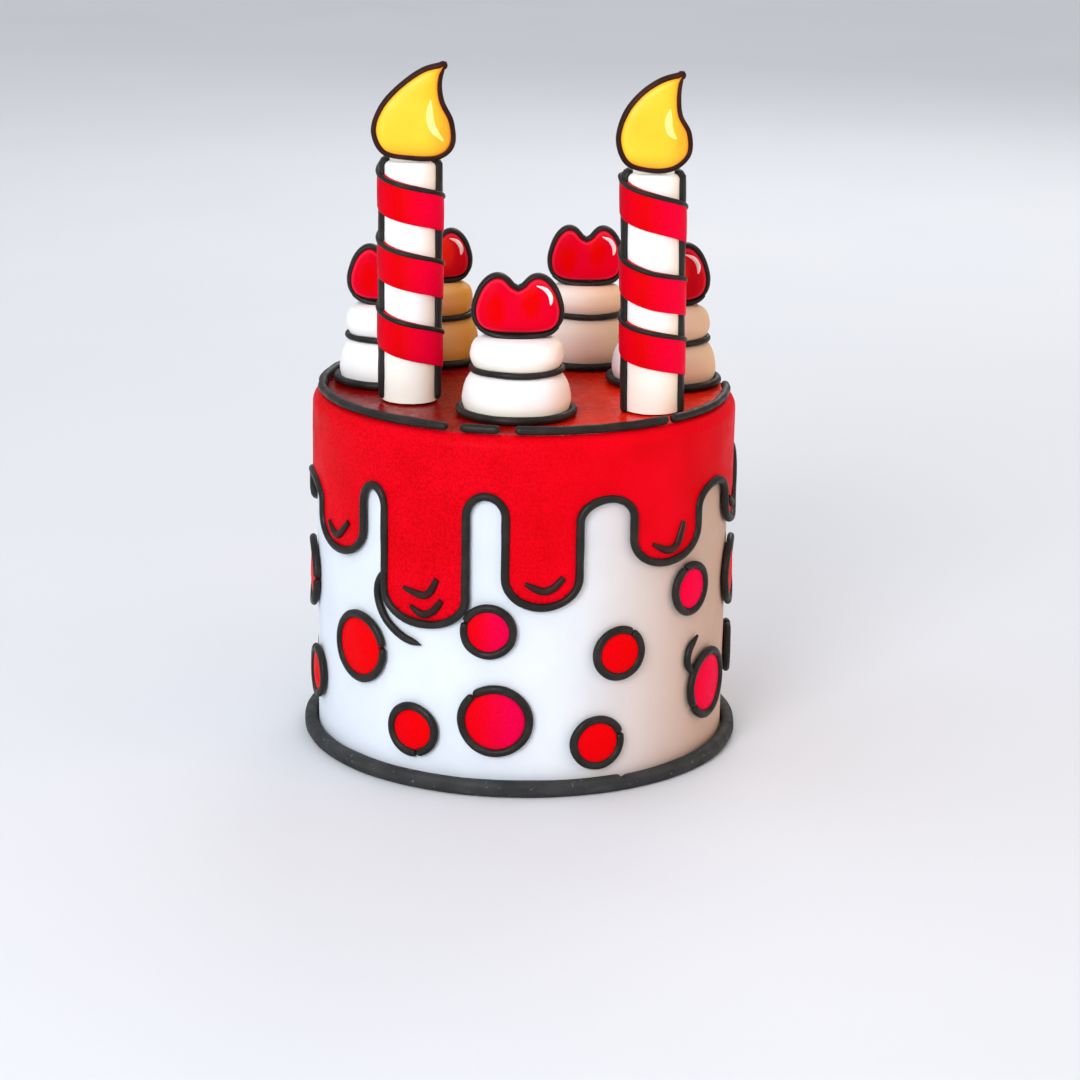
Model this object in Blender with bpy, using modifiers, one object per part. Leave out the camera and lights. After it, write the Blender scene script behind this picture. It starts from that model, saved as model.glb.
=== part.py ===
"""An iced celebration cake: white sides, red icing with drips over the top, black icing ropes
as outlines, dots on the sides, and five dollops and two candles on the top.

Metres, +Z up. The origin is the middle of the underside, and the front faces -Y.
Angles are degrees round the cake, 0 at the front and rising towards +X."""

import math

import bmesh
import bpy
from mathutils import Matrix, Vector
from mathutils.geometry import delaunay_2d_cdt

MM = 0.001
GAP = 0.3 * MM
SAME_POINT = 0.01 * MM
SPLINE_PARTS = 8

# Cake and red icing
CAKE_RADIUS = 80 * MM
CAKE_TOP = 135.5 * MM
CAKE_SHOULDER = 3.2 * MM
ICING_THICKNESS = 1.5 * MM
ICING_GAP = 0.5 * MM
ICING_RADIUS = CAKE_RADIUS + ICING_GAP + ICING_THICKNESS
ICING_TOP = CAKE_TOP + ICING_GAP + ICING_THICKNESS
ICING_SHOULDER = CAKE_SHOULDER + ICING_GAP + ICING_THICKNESS
COLUMNS = 60

# Ropes
BASE_ROPE_DEPTH = 5.6 * MM
BASE_ROPE_HEIGHT = 6.5 * MM
DRIP_ROPE = 1.6 * MM
RIM_ROPE = 1.65 * MM
RIM_RADIUS = 78 * MM
TRIM_ROPE = 1.35 * MM
THIN_ROPE = 1.1 * MM
STROKE = 1.15 * MM
STROKE_POINTS = 6
STROKE_TAPER = 0.45
STROKE_SUNK = 0.3
ROPE_STEP = 7.5 * MM
BASE_ROPE_STEPS = 54
BASE_ROPE_SIDES = 8
ICING_EDGE_ANGLE = 50

# Each drip: middle angle, half width in degrees, height of its tip
DRIPS = [
    (-101.0, 9.5, 89.6 * MM),
    (-57.0, 10.8, 84.2 * MM),
    (-26.4, 11.9, 64.0 * MM),
    (5.4, 9.6, 73.4 * MM),
    (41.8, 11.6, 85.8 * MM),
    (80.0, 9.5, 90.6 * MM),
    (114.0, 10.5, 71.6 * MM),
    (149.0, 9.5, 84.6 * MM),
    (186.0, 11.0, 68.6 * MM),
    (224.0, 10.0, 81.6 * MM),
]
# The top of the white between each drip and the next one
ARCH_TOPS = [h * MM for h in (106.5, 113.6, 115.0, 113.3, 111.2, 113.6, 115.6, 112.6, 115.1, 114.1)]
TIP_ROUND = 11 * MM
ARCH_ROUND = 8 * MM
# The most that each round may take of the height between a drip's tip and the arch's top
TIP_SHARE = 0.55
ARCH_SHARE = 0.4
ARCH_POINTS = 6
TIP_POINTS = 7
# Points inside the icing's sheet: a ring on the top, and two columns down each drip
TOP_RING_SHARE = 0.55
TOP_RING_POINTS = 18
DRIP_COLUMN = 0.36
DRIP_ROW_FOOT = 7
DRIP_ROW_TOP = 124
DRIP_ROW_STEP = 12

# Short black strokes on the drips and beside them, as angle and height along each
DRIP_STROKES = [
    [(-106, 101.6), (-101.5, 96.6), (-96, 101.1)],
    [(-62.8, 93.3), (-57.9, 89.4), (-52.2, 96.2)],
    [(-32.1, 76.9), (-26.6, 75.2), (-22.2, 82.1)],
    [(0.9, 82.6), (5.9, 79.8), (10.9, 84.8)],
    [(36.2, 93.8), (44.2, 90.8), (47.0, 100.2)],
    [(75, 100.6), (80, 96.4), (85, 100.6)],
    [(108, 81.6), (114, 77.9), (119.5, 83.1)],
    [(144, 94.6), (149, 91.0), (154, 95.6)],
    [(180, 78.6), (186, 75.0), (192, 80.1)],
    [(218.5, 91.6), (224, 88.0), (229.5, 92.6)],
]
SIDE_STROKE = [(-38.7, 81.6), (-40.9, 75.6), (-40.6, 69.0), (-37.8, 62.5), (-32.6, 57.6), (-26.8, 55.5)]
DOT_STROKE = [(55.6, 52.4), (51.9, 48.2), (51.2, 42.6), (53.6, 38.0)]

# Where the rim ropes start and end
RIM_PIECES = [(-130, -20.8), (-16.9, -6.4), (-2.2, 42.6), (44.2, 92.6), (116.4, 205.8)]

# Dots: angle, height of the middle, outer radius
BIG_DOT = 14.1 * MM
SMALL_DOT = 10.7 * MM
DOT_RING = 1.6 * MM
DOT_CREST = 3.3 * MM
DOT_HOLLOW = 2.2 * MM
DOT_GAP = 0.45 * MM
DOTS = [
    (-84.5, 65.1, BIG_DOT),
    (-75.0, 28.1, SMALL_DOT),
    (-48.0, 49.1, BIG_DOT),
    (-29.3, 22.0, SMALL_DOT),
    (-8.4, 63.6, SMALL_DOT),
    (-6.4, 29.1, BIG_DOT),
    (20.9, 19.6, SMALL_DOT),
    (26.8, 53.6, SMALL_DOT),
    (51.4, 72.6, SMALL_DOT),
    (61.6, 31.4, BIG_DOT),
    (83.0, 68.6, BIG_DOT),
    (91.0, 33.6, SMALL_DOT),
    (112.0, 47.6, SMALL_DOT),
    (134.0, 25.6, BIG_DOT),
    (153.0, 55.6, SMALL_DOT),
    (174.0, 25.6, SMALL_DOT),
    (194.0, 45.6, BIG_DOT),
    (213.0, 22.6, SMALL_DOT),
    (231.0, 51.6, BIG_DOT),
    (252.0, 26.6, SMALL_DOT),
]
STROKED_DOT = 9
DOT_SIDES = 12

# Dollops: place, width against the front one, heights of both tiers and of the cherry
DOLLOPS = {
    "front": dict(x=-2.8, y=-43.5, wide=1.0, lower=16.6, upper=12.0, cherry=24.6),
    "left": dict(x=-53.3, y=9.0, wide=0.92, lower=17.6, upper=12.4, cherry=24.0),
    "right": dict(x=54.5, y=14.0, wide=1.0, lower=17.2, upper=13.0, cherry=25.4),
    "back_left": dict(x=-36.5, y=48.0, wide=0.88, lower=18.6, upper=13.0, cherry=22.4),
    "back_right": dict(x=24.0, y=48.0, wide=0.9, lower=20.2, upper=11.2, cherry=24.6),
}
LOWER_RADIUS = 20.6 * MM
UPPER_RADIUS = 17.8 * MM
# Outline of a tier: share of its widest radius and share of its height, from below
LOWER_OUTLINE = [(0.95, 0), (1.0, 0.3), (0.975, 0.65), (0.87, 0.9), (0.757, 1)]
UPPER_OUTLINE = [(0.854, 0), (0.96, 0.2), (1.0, 0.5), (0.92, 0.84), (0.73, 1)]
MIDDLE_ROPE_RADIUS = 17.3 * MM
MIDDLE_ROPE_RISE = 0.6 * MM
BASE_RING_RADIUS = 21.8 * MM
TIER_SIDES = 14

# Half of the two-lobed cherry's edge, from the notch to the middle of its foot, for the front one
CHERRY_HALF = [(3.6, 22.5), (8.9, 24.6), (14.7, 21.2), (17.9, 13.8), (17.3, 6.8), (14.0, 1.7), (7.2, 0.1)]
CHERRY_NOTCH = 19.2
CHERRY_HEIGHT = 24.6
CHERRY_THICKNESS = 13 * MM
CHERRY_SIDES = 18
# A puffed plate's section: share of the edge's size and share of the half thickness
CHERRY_SECTION = [(0.5, 1.0), (0.84, 0.74), (1.0, 0.26)]
FLAME_SECTION = [(0.5, 1.0), (0.84, 0.8), (1.0, 0.4)]

# Candles: foot, lean as sideways shift per height, heights of the ribbon's middle at the front
CANDLES = {
    "left": dict(x=-43.3, y=-23.5, lean=0.0, height=90.8, ribbon=(238.6, 213.6, 188.5, 162.3, 136.6)),
    "right": dict(x=48.0, y=-35.0, lean=-0.02, height=89.3, ribbon=(241.1, 213.6, 184.8, 162.6, 138.6)),
}
CANDLE_RADIUS = 10.6 * MM
CANDLE_EDGE = 1.2 * MM
CANDLE_SIDES = 20
RIBBON_WIDTH = 14.6 * MM
RIBBON_IN = 11.0 * MM
RIBBON_OUT = 12.3 * MM
RIBBON_LINE = 1.7 * MM
RIBBON_LINE_CREST = 0.5 * MM
RIBBON_EVEN = 1.5 * MM
RIBBON_STEPS = 16
RIBBON_END = 1240
RIBBON_LEAST = 3 * MM
STRIP_RADIUS = 1.15 * MM
STRIP_OUT = 11.2 * MM
STRIP_GAP = 0.5 * MM
STRIP_LEAST = 2.5 * MM

# The flames' edges, anticlockwise from the tip, with the middle of the foot at 0, 0
FLAMES = {
    "left": [(13.6, 37.0), (4.6, 34.4), (-4.9, 27.6), (-11.8, 19.4), (-14.4, 10.4), (-10.2, 2.2),
             (0.5, 0.1), (11.0, 0.6), (16.5, 5.7), (16.2, 14.6), (12.6, 22.2), (11.8, 29.0)],
    "right": [(10.4, 37.8), (1.8, 35.0), (-6.3, 29.4), (-12.1, 21.4), (-14.3, 11.6), (-10.4, 2.8),
              (-0.6, 0.1), (8.0, 1.4), (13.4, 6.9), (13.3, 15.0), (9.8, 21.8), (9.2, 29.4)],
}
FLAME_THICKNESS = 7 * MM
# How far in front of its candle's axis a flame stands
FLAME_FORWARD = 6.5 * MM
FLAME_SIDES = 22

WHITE = (0.86, 0.88, 0.92)
RED = (0.78, 0.0, 0.006)
BLACK = (0.03, 0.028, 0.025)
YELLOW = (1.0, 0.68, 0.04)


def clear_scene():
    for obj in list(bpy.data.objects):
        bpy.data.objects.remove(obj)


def new_collection(name):
    collection = bpy.data.collections.new(name)
    bpy.context.scene.collection.children.link(collection)
    return collection


def finish_material(name, colour, roughness):
    material = bpy.data.materials.new(name)
    material.use_nodes = True
    shader = material.node_tree.nodes["Principled BSDF"]
    shader.inputs["Base Color"].default_value = (*colour, 1)
    shader.inputs["Roughness"].default_value = roughness
    material.diffuse_color = (*colour, 1)
    return material


def smooth(mesh):
    mesh.shade_smooth()
    mesh.set_sharp_from_angle(angle=math.radians(ICING_EDGE_ANGLE))


def face_outwards(bm):
    bmesh.ops.recalc_face_normals(bm, faces=bm.faces)
    if bm.calc_volume(signed=True) < 0:
        bmesh.ops.reverse_faces(bm, faces=bm.faces)


def add_mesh(name, bm, colour, roughness=0.45, place=(0, 0, 0)):
    face_outwards(bm)
    mesh = bpy.data.meshes.new(name)
    bm.to_mesh(mesh)
    bm.free()
    smooth(mesh)
    obj = bpy.data.objects.new(name, mesh)
    obj.location = place
    mesh.materials.append(finish_material(name, colour, roughness))
    CAKE.objects.link(obj)
    return obj


def polar(radius, angle, height):
    turn = math.radians(angle)
    return Vector((radius * math.sin(turn), -radius * math.cos(turn), height))


def wrapped(along, up, out, angle=0.0):
    """A point of a flat drawing laid round the cake's side: along and up it, and out from it."""
    return polar(CAKE_RADIUS + out, angle + math.degrees(along / CAKE_RADIUS), up)


def lathe(profile, steps):
    """A turned solid: the profile is (radius, height) from the axis to the axis."""
    bm = bmesh.new()
    points = [bm.verts.new((radius, 0, height)) for radius, height in profile]
    edges = [bm.edges.new(pair) for pair in zip(points, points[1:])]
    bmesh.ops.spin(
        bm,
        geom=points + edges,
        axis=(0, 0, 1),
        cent=(0, 0, 0),
        angle=math.tau,
        steps=steps,
        use_merge=True,
    )
    bmesh.ops.remove_doubles(bm, verts=bm.verts, dist=SAME_POINT)
    return bm


def loft(rings, closed):
    """Joins rings of as many points each. Open ends are closed with a fan."""
    bm = bmesh.new()
    rows = [[bm.verts.new(point) for point in ring] for ring in rings]
    pairs = list(zip(rows, rows[1:]))
    if closed:
        pairs.append((rows[-1], rows[0]))
    for first, second in pairs:
        for i in range(len(first)):
            j = (i + 1) % len(first)
            bm.faces.new((first[i], first[j], second[j], second[i]))
    if not closed:
        for row in (rows[0], rows[-1]):
            middle = bm.verts.new(sum((v.co for v in row), Vector()) / len(row))
            for i in range(len(row)):
                bm.faces.new((row[i], row[(i + 1) % len(row)], middle))
    return bm


def spline_points(controls, count, closed=True, corner=None):
    """Points at even steps on a smooth curve through the controls, sharp at the corner."""
    controls = [Vector(point) for point in controls]
    total = len(controls)

    def control(i, away_from):
        if closed:
            if corner is not None and away_from % total == corner % total:
                return controls[away_from % total]
            return controls[i % total]
        return controls[min(max(i, 0), total - 1)]

    spans = total if closed else total - 1
    fine = []
    for span in range(spans):
        before = control(span - 1, span)
        start = controls[span]
        end = controls[(span + 1) % total]
        after = control(span + 2, span + 1)
        for k in range(SPLINE_PARTS):
            t = k / SPLINE_PARTS
            fine.append(
                0.5
                * (
                    2 * start
                    + (end - before) * t
                    + (2 * before - 5 * start + 4 * end - after) * t**2
                    + (3 * start - before - 3 * end + after) * t**3
                )
            )
    fine.append(controls[0] if closed else controls[-1])
    lengths = [0.0]
    for a, b in zip(fine, fine[1:]):
        lengths.append(lengths[-1] + (b - a).length)
    wanted = count if closed else count - 1
    points = []
    at = 0
    for k in range(count):
        goal = lengths[-1] * k / wanted
        while at < len(fine) - 2 and lengths[at + 1] < goal:
            at += 1
        share = (goal - lengths[at]) / max(lengths[at + 1] - lengths[at], 1e-12)
        points.append(fine[at].lerp(fine[at + 1], min(share, 1.0)))
    return points


def rope_curve(name, points, thickness, cyclic=False, ends=None):
    """An icing rope as a curve object, with thickness as its radius and ends as its taper."""
    curve = bpy.data.curves.new(name, "CURVE")
    curve.dimensions = "3D"
    curve.bevel_depth = thickness
    curve.bevel_resolution = 1
    curve.use_fill_caps = True
    spline = curve.splines.new("POLY")
    spline.points.add(len(points) - 1)
    spline.use_cyclic_u = cyclic
    for i, (target, point) in enumerate(zip(spline.points, points)):
        target.co = (*point, 1)
        if ends is not None:
            share = i / (len(points) - 1)
            target.radius = ends + (1 - ends) * math.sin(math.pi * share) ** 0.7
    obj = bpy.data.objects.new(name, curve)
    CAKE.objects.link(obj)
    return obj


def as_mesh(obj):
    """The curve object made a closed mesh of its own, and the curve removed."""
    bpy.context.view_layer.update()
    graph = bpy.context.evaluated_depsgraph_get()
    mesh = bpy.data.meshes.new_from_object(obj.evaluated_get(graph))
    bm = bmesh.new()
    bm.from_mesh(mesh)
    bmesh.ops.remove_doubles(bm, verts=bm.verts, dist=SAME_POINT)
    face_outwards(bm)
    bm.to_mesh(mesh)
    bm.free()
    made = bpy.data.objects.new(obj.name + "_mesh", mesh)
    made.matrix_world = obj.matrix_world
    name = obj.name
    bpy.data.objects.remove(obj)
    made.name = name
    CAKE.objects.link(made)
    return made


def fuse(base, pieces):
    """Joins the pieces to the base with one Boolean union, and removes them."""
    group = bpy.data.collections.new(base.name + "_fused")
    for piece in pieces:
        group.objects.link(piece)
    union = base.modifiers.new("fused", "BOOLEAN")
    union.operation = "UNION"
    union.operand_type = "COLLECTION"
    union.collection = group
    bpy.context.view_layer.update()
    graph = bpy.context.evaluated_depsgraph_get()
    joined = bpy.data.meshes.new_from_object(base.evaluated_get(graph))
    base.modifiers.clear()
    base.data = joined
    smooth(joined)
    for piece in pieces:
        bpy.data.objects.remove(piece)
    bpy.data.collections.remove(group)


def drip_line():
    """The closed middle line of the drips' outline, as (along, height) round the cake."""
    line = []
    count = len(DRIPS)
    for i, (angle, half, tip) in enumerate(DRIPS):
        left = math.radians(angle - half) * CAKE_RADIUS
        right = math.radians(angle + half) * CAKE_RADIUS
        middle = (left + right) / 2
        rounded = min(TIP_ROUND, TIP_SHARE * (min(ARCH_TOPS[i - 1], ARCH_TOPS[i]) - tip))
        for k in range(TIP_POINTS):
            turn = math.pi * k / (TIP_POINTS - 1)
            across = middle - (right - left) / 2 * math.cos(turn)
            line.append(Vector((across, tip + rounded * (1 - math.sin(turn)))))
        next_angle, next_half, next_tip = DRIPS[(i + 1) % count]
        turn_on = 360 if i == count - 1 else 0
        start = right
        end = math.radians(next_angle + turn_on - next_half) * CAKE_RADIUS
        middle = (start + end) / 2
        rounded = min(ARCH_ROUND, ARCH_SHARE * (ARCH_TOPS[i] - max(tip, next_tip)))
        for k in range(ARCH_POINTS):
            turn = math.pi * k / (ARCH_POINTS - 1)
            across = middle - (end - start) / 2 * math.cos(turn)
            line.append(Vector((across, ARCH_TOPS[i] - rounded * (1 - math.sin(turn)))))
    return line


def moved_off(line, distance):
    """The closed line moved off to the side of the red icing, each edge by the distance."""
    whole = math.tau * CAKE_RADIUS
    count = len(line)
    moved = []
    for i, point in enumerate(line):
        before = line[i - 1] - Vector((whole, 0)) if i == 0 else line[i - 1]
        after = line[0] + Vector((whole, 0)) if i == count - 1 else line[i + 1]
        first = (point - before).normalized()
        second = (after - point).normalized()
        side = Vector((-first.y - second.y, first.x + second.x)).normalized()
        spread = max(side.dot(Vector((-first.y, first.x))), 0.5)
        moved.append(point + side * distance / spread)
    return moved


def icing_point(reach, angle):
    """A point of the icing's outer face, reach being the way over it from the middle."""
    flat = ICING_RADIUS - ICING_SHOULDER
    bend = ICING_SHOULDER * math.pi / 2
    if reach <= flat:
        return polar(reach, angle, ICING_TOP)
    if reach <= flat + bend:
        turn = (reach - flat) / ICING_SHOULDER
        out = flat + ICING_SHOULDER * math.sin(turn)
        return polar(out, angle, ICING_TOP - ICING_SHOULDER * (1 - math.cos(turn)))
    return polar(ICING_RADIUS, angle, ICING_TOP - ICING_SHOULDER - (reach - flat - bend))


def icing_sheet():
    """The red icing's outer face: a flower-shaped flat sheet, triangulated and then folded down."""
    flat = ICING_RADIUS - ICING_SHOULDER
    side = flat + ICING_SHOULDER * math.pi / 2
    edge = []
    for along, height in moved_off(drip_line(), DRIP_ROPE + GAP):
        angle = math.degrees(along / CAKE_RADIUS)
        edge.append((side + ICING_TOP - ICING_SHOULDER - height, angle))
    inner = [(0.0, 0.0)]
    inner += [(flat * TOP_RING_SHARE, 360 * k / TOP_RING_POINTS) for k in range(TOP_RING_POINTS)]
    for reach in (flat, flat + (side - flat) / 2, side):
        inner += [(reach, 360 * k / COLUMNS) for k in range(COLUMNS)]
    for angle, half, tip in DRIPS:
        column = half * DRIP_COLUMN
        for height in range(int(tip / MM) + DRIP_ROW_FOOT, DRIP_ROW_TOP, DRIP_ROW_STEP):
            reach = side + ICING_TOP - ICING_SHOULDER - height * MM
            inner += [(reach, angle - column), (reach, angle + column)]
    spots = edge + inner
    flat_spots = []
    for reach, angle in spots:
        turn = math.radians(angle)
        flat_spots.append(Vector((reach * math.sin(turn), -reach * math.cos(turn))))
    ring = list(range(len(edge)))
    result = delaunay_2d_cdt(flat_spots, [], [ring], 1, 1e-7)
    points, faces, origins = result[0], result[2], result[3]
    bm = bmesh.new()
    verts = []
    for i, point in enumerate(points):
        reach, angle = spots[origins[i][0]] if origins[i] else (point.length, math.degrees(math.atan2(point.x, -point.y)))
        verts.append(bm.verts.new(icing_point(reach, angle)))
    for face in faces:
        bm.faces.new([verts[k] for k in face])
    return bm


def stroke_on(name, spots, out, radius):
    """A short tapered stroke through the spots, given as angle and height, standing out that far."""
    line = spline_points(spots, STROKE_POINTS, closed=False)
    points = [polar(CAKE_RADIUS + out, angle, height * MM) for angle, height in line]
    return as_mesh(rope_curve(name, points, radius, ends=STROKE_TAPER))


def make_cake():
    inner = CAKE_RADIUS - CAKE_SHOULDER
    profile = [(0, CAKE_TOP)]
    for k in range(3):
        turn = math.pi / 2 * k / 2
        rise = CAKE_TOP - CAKE_SHOULDER * (1 - math.cos(turn))
        profile.append((inner + CAKE_SHOULDER * math.sin(turn), rise))
    profile += [(CAKE_RADIUS, 0), (0, 0)]
    add_mesh("cake", lathe(profile, COLUMNS), WHITE)


def make_red_icing():
    icing = add_mesh("red_icing", icing_sheet(), RED, 0.4)
    wall = icing.modifiers.new("wall", "SOLIDIFY")
    wall.thickness = ICING_THICKNESS
    wall.offset = -1
    wall.use_even_offset = True
    bpy.context.view_layer.update()
    graph = bpy.context.evaluated_depsgraph_get()
    solid = bpy.data.meshes.new_from_object(icing.evaluated_get(graph))
    icing.modifiers.clear()
    icing.data = solid
    strokes = []
    for i, spots in enumerate(DRIP_STROKES):
        out = ICING_RADIUS - CAKE_RADIUS + STROKE * STROKE_SUNK
        strokes.append(stroke_on(f"stroke_{i}", spots, out, STROKE))
    fuse(icing, strokes)


def make_drip_outline():
    out = GAP + DRIP_ROPE
    points = [wrapped(along, height, out) for along, height in drip_line()]
    outline = as_mesh(rope_curve("drip_outline", points, DRIP_ROPE, cyclic=True))
    stroke = stroke_on("side_stroke", SIDE_STROKE, GAP + STROKE, STROKE)
    outline.data.materials.append(finish_material("drip_outline", BLACK, 0.6))
    fuse(outline, [stroke])


def make_base_rope():
    middle = CAKE_RADIUS + GAP + BASE_ROPE_DEPTH / 2
    corner = 1 / math.cos(math.pi / BASE_ROPE_SIDES)
    profile = []
    for k in range(BASE_ROPE_SIDES):
        turn = math.tau * (k + 0.5) / BASE_ROPE_SIDES
        out = middle + BASE_ROPE_DEPTH / 2 * math.cos(turn) * corner
        up = BASE_ROPE_HEIGHT / 2 * (1 + math.sin(turn) * corner)
        profile.append((out, 0, up))
    rings = []
    for k in range(BASE_ROPE_STEPS):
        turn = Matrix.Rotation(math.tau * k / BASE_ROPE_STEPS, 3, "Z")
        rings.append([turn @ Vector(point) for point in profile])
    add_mesh("base_rope", loft(rings, closed=True), BLACK, 0.75)


def make_rim_ropes():
    height = ICING_TOP + GAP + RIM_ROPE
    for i, (start, end) in enumerate(RIM_PIECES):
        count = max(3, round(math.radians(end - start) * RIM_RADIUS / ROPE_STEP) + 1)
        points = [polar(RIM_RADIUS, start + (end - start) * k / (count - 1), height) for k in range(count)]
        rope = rope_curve(f"rim_rope_{i + 1}", points, RIM_ROPE)
        rope.data.materials.append(finish_material(rope.name, BLACK, 0.6))


def dot_profile(radius):
    """Half of a dot's section: a low dome in a raised ring, from the middle of the front to the back."""
    ring = radius - DOT_RING
    disc = radius - 2 * DOT_RING
    return [
        (0, DOT_CREST),
        (disc, DOT_HOLLOW),
        (ring, DOT_CREST),
        (radius, DOT_GAP),
        (0, DOT_GAP),
    ]


def make_dots():
    for i, (angle, height, radius) in enumerate(DOTS):
        bm = lathe(dot_profile(radius), DOT_SIDES)
        for vert in bm.verts:
            along, up, out = vert.co
            vert.co = wrapped(along, height * MM + up, out, angle)
        dot = add_mesh(f"dot_{i + 1:02d}", bm, RED)
        if i == STROKED_DOT:
            fuse(dot, [stroke_on("dot_stroke", DOT_STROKE, GAP + STROKE, STROKE)])


def tier(name, radius, height, outline, place):
    profile = [(0, 0)]
    profile += [(radius * share, height * rise) for share, rise in outline]
    profile.append((0, height))
    return add_mesh(name, lathe(profile, TIER_SIDES), WHITE, place=place)


def ring_rope(name, major, minor, place):
    bpy.ops.mesh.primitive_torus_add(
        major_radius=major,
        minor_radius=minor,
        major_segments=TIER_SIDES,
        minor_segments=5,
        location=place,
    )
    ring = bpy.context.object
    ring.name = name
    ring.data.name = name
    smooth(ring.data)
    ring.data.materials.append(finish_material(name, BLACK, 0.6))
    for collection in list(ring.users_collection):
        collection.objects.unlink(ring)
    CAKE.objects.link(ring)
    return ring


def cherry_outline(width, height, count):
    half = [(x * width, z * height / CHERRY_HEIGHT) for x, z in CHERRY_HALF]
    notch = (0, CHERRY_NOTCH * height / CHERRY_HEIGHT)
    edge = [notch] + half + [(0, 0)] + [(-x, z) for x, z in reversed(half)]
    return [point * MM for point in spline_points(edge, count, corner=0)]


def pillow(outline, thickness, rows):
    """A puffed plate standing across Y: rows are the edge's scale and the share of the thickness."""
    middle = sum(outline, Vector((0, 0))) / len(outline)
    half = thickness / 2
    rings = []
    for scale, depth in rows + [(s, -d) for s, d in reversed(rows)]:
        flat = [middle + (point - middle) * scale for point in outline]
        rings.append([Vector((x, depth * half, z)) for x, z in flat])
    return loft(rings, closed=False)


def make_dollop(name, spec):
    wide = spec["wide"]
    x, y = spec["x"] * MM, spec["y"] * MM
    foot = ICING_TOP + GAP
    lower_height = spec["lower"] * MM
    upper_height = spec["upper"] * MM
    tier(f"dollop_{name}_lower", LOWER_RADIUS * wide, lower_height, LOWER_OUTLINE, (x, y, foot))
    ring_rope(f"dollop_{name}_base_rope", BASE_RING_RADIUS * wide, TRIM_ROPE, (x, y, foot + TRIM_ROPE))
    waist = foot + lower_height
    middle_radius = MIDDLE_ROPE_RADIUS * wide
    ring_rope(f"dollop_{name}_middle_rope", middle_radius, THIN_ROPE, (x, y, waist + MIDDLE_ROPE_RISE))
    upper_foot = waist + GAP
    tier(f"dollop_{name}_upper", UPPER_RADIUS * wide, upper_height, UPPER_OUTLINE, (x, y, upper_foot))
    outline = cherry_outline(wide, spec["cherry"], CHERRY_SIDES)
    bm = pillow(outline, CHERRY_THICKNESS * wide, CHERRY_SECTION)
    cherry_foot = upper_foot + upper_height + GAP
    add_mesh(f"dollop_{name}_cherry", bm, RED, 0.35, (x, y, cherry_foot))


def leaned(candle, point):
    """A point of an upright candle at the origin, leaned and moved to the candle's place."""
    x, y, z = point
    spec = CANDLES[candle]
    return Vector((spec["x"] * MM + x + spec["lean"] * z, spec["y"] * MM + y, ICING_TOP + GAP + z))


def candle_height(candle):
    return CANDLES[candle]["height"] * MM


def ribbon_middle(candle, angle):
    """Height of the ribbon's middle above the candle's foot; 0 degrees is the first front crossing."""
    heights = CANDLES[candle]["ribbon"]
    turn = min(max(angle / 360, 0), len(heights) - 1.001)
    first = int(turn)
    height = heights[first] + (heights[first + 1] - heights[first]) * (turn - first)
    return height * MM - ICING_TOP - GAP + RIBBON_EVEN * math.sin(math.radians(angle))


def ribbon_edges(candle, angle):
    """Lower and upper edge of the ribbon, cut off at the candle's foot and top."""
    middle = ribbon_middle(candle, angle)
    lower = max(middle - RIBBON_WIDTH / 2, 0.6 * MM)
    upper = min(middle + RIBBON_WIDTH / 2, candle_height(candle) - 0.8 * MM)
    return lower, upper


def ribbon_angles(candle):
    """The angles at which the ribbon is wide enough to be there."""
    step = 360 / RIBBON_STEPS
    kept = []
    for k in range(int(RIBBON_END / step)):
        lower, upper = ribbon_edges(candle, step * k)
        if upper - lower > RIBBON_LEAST:
            kept.append(step * k)
    return kept


def make_ribbon(candle):
    sections = []
    for angle in ribbon_angles(candle):
        lower, upper = ribbon_edges(candle, angle)
        line = upper - RIBBON_LINE
        profile = [
            (RIBBON_IN, lower),
            (RIBBON_OUT, lower),
            (RIBBON_OUT, line),
            (RIBBON_OUT + RIBBON_LINE_CREST, (line + upper) / 2),
            (RIBBON_IN, upper),
        ]
        sections.append([leaned(candle, polar(radius, angle, z)) for radius, z in profile])
    add_mesh(f"candle_{candle}_ribbon", loft(sections, closed=False), RED)


def strip_spans(candle, side):
    """The stretches of a candle's side, at side degrees, that the ribbon leaves bare."""
    spans = []
    bottom = 0.0
    crossings = []
    for angle in ribbon_angles(candle):
        if abs((angle - side) % 360) < 1:
            crossings.append(ribbon_edges(candle, angle))
    for lower, upper in sorted(crossings):
        spans.append((bottom, lower - STRIP_GAP))
        bottom = upper + STRIP_GAP
    spans.append((bottom, candle_height(candle) - CANDLE_EDGE))
    return [(low, high) for low, high in spans if high - low > STRIP_LEAST]


def make_candle(candle):
    height = candle_height(candle)
    bm = lathe(
        [
            (0, 0),
            (CANDLE_RADIUS, 0),
            (CANDLE_RADIUS, height - CANDLE_EDGE),
            (CANDLE_RADIUS - CANDLE_EDGE, height),
            (0, height),
        ],
        CANDLE_SIDES,
    )
    for vert in bm.verts:
        vert.co = leaned(candle, vert.co)
    body = add_mesh(f"candle_{candle}", bm, WHITE)
    strips = []
    for side in (90, 270):
        for low, high in strip_spans(candle, side):
            ends = [leaned(candle, polar(STRIP_OUT, side, z)) for z in (low, high)]
            strips.append(as_mesh(rope_curve(f"strip_{side}_{len(strips)}", ends, STRIP_RADIUS)))
    fuse(body, strips)
    make_ribbon(candle)
    make_flame(candle)


def make_flame(candle):
    outline = [point * MM for point in spline_points(FLAMES[candle], FLAME_SIDES, corner=0)]
    bm = pillow(outline, FLAME_THICKNESS, FLAME_SECTION)
    place = leaned(candle, (0, -FLAME_FORWARD, candle_height(candle) + GAP))
    low = min(vert.co.z for vert in bm.verts)
    for vert in bm.verts:
        vert.co.z -= low
    add_mesh(f"candle_{candle}_flame", bm, YELLOW, 0.4, place)


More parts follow.
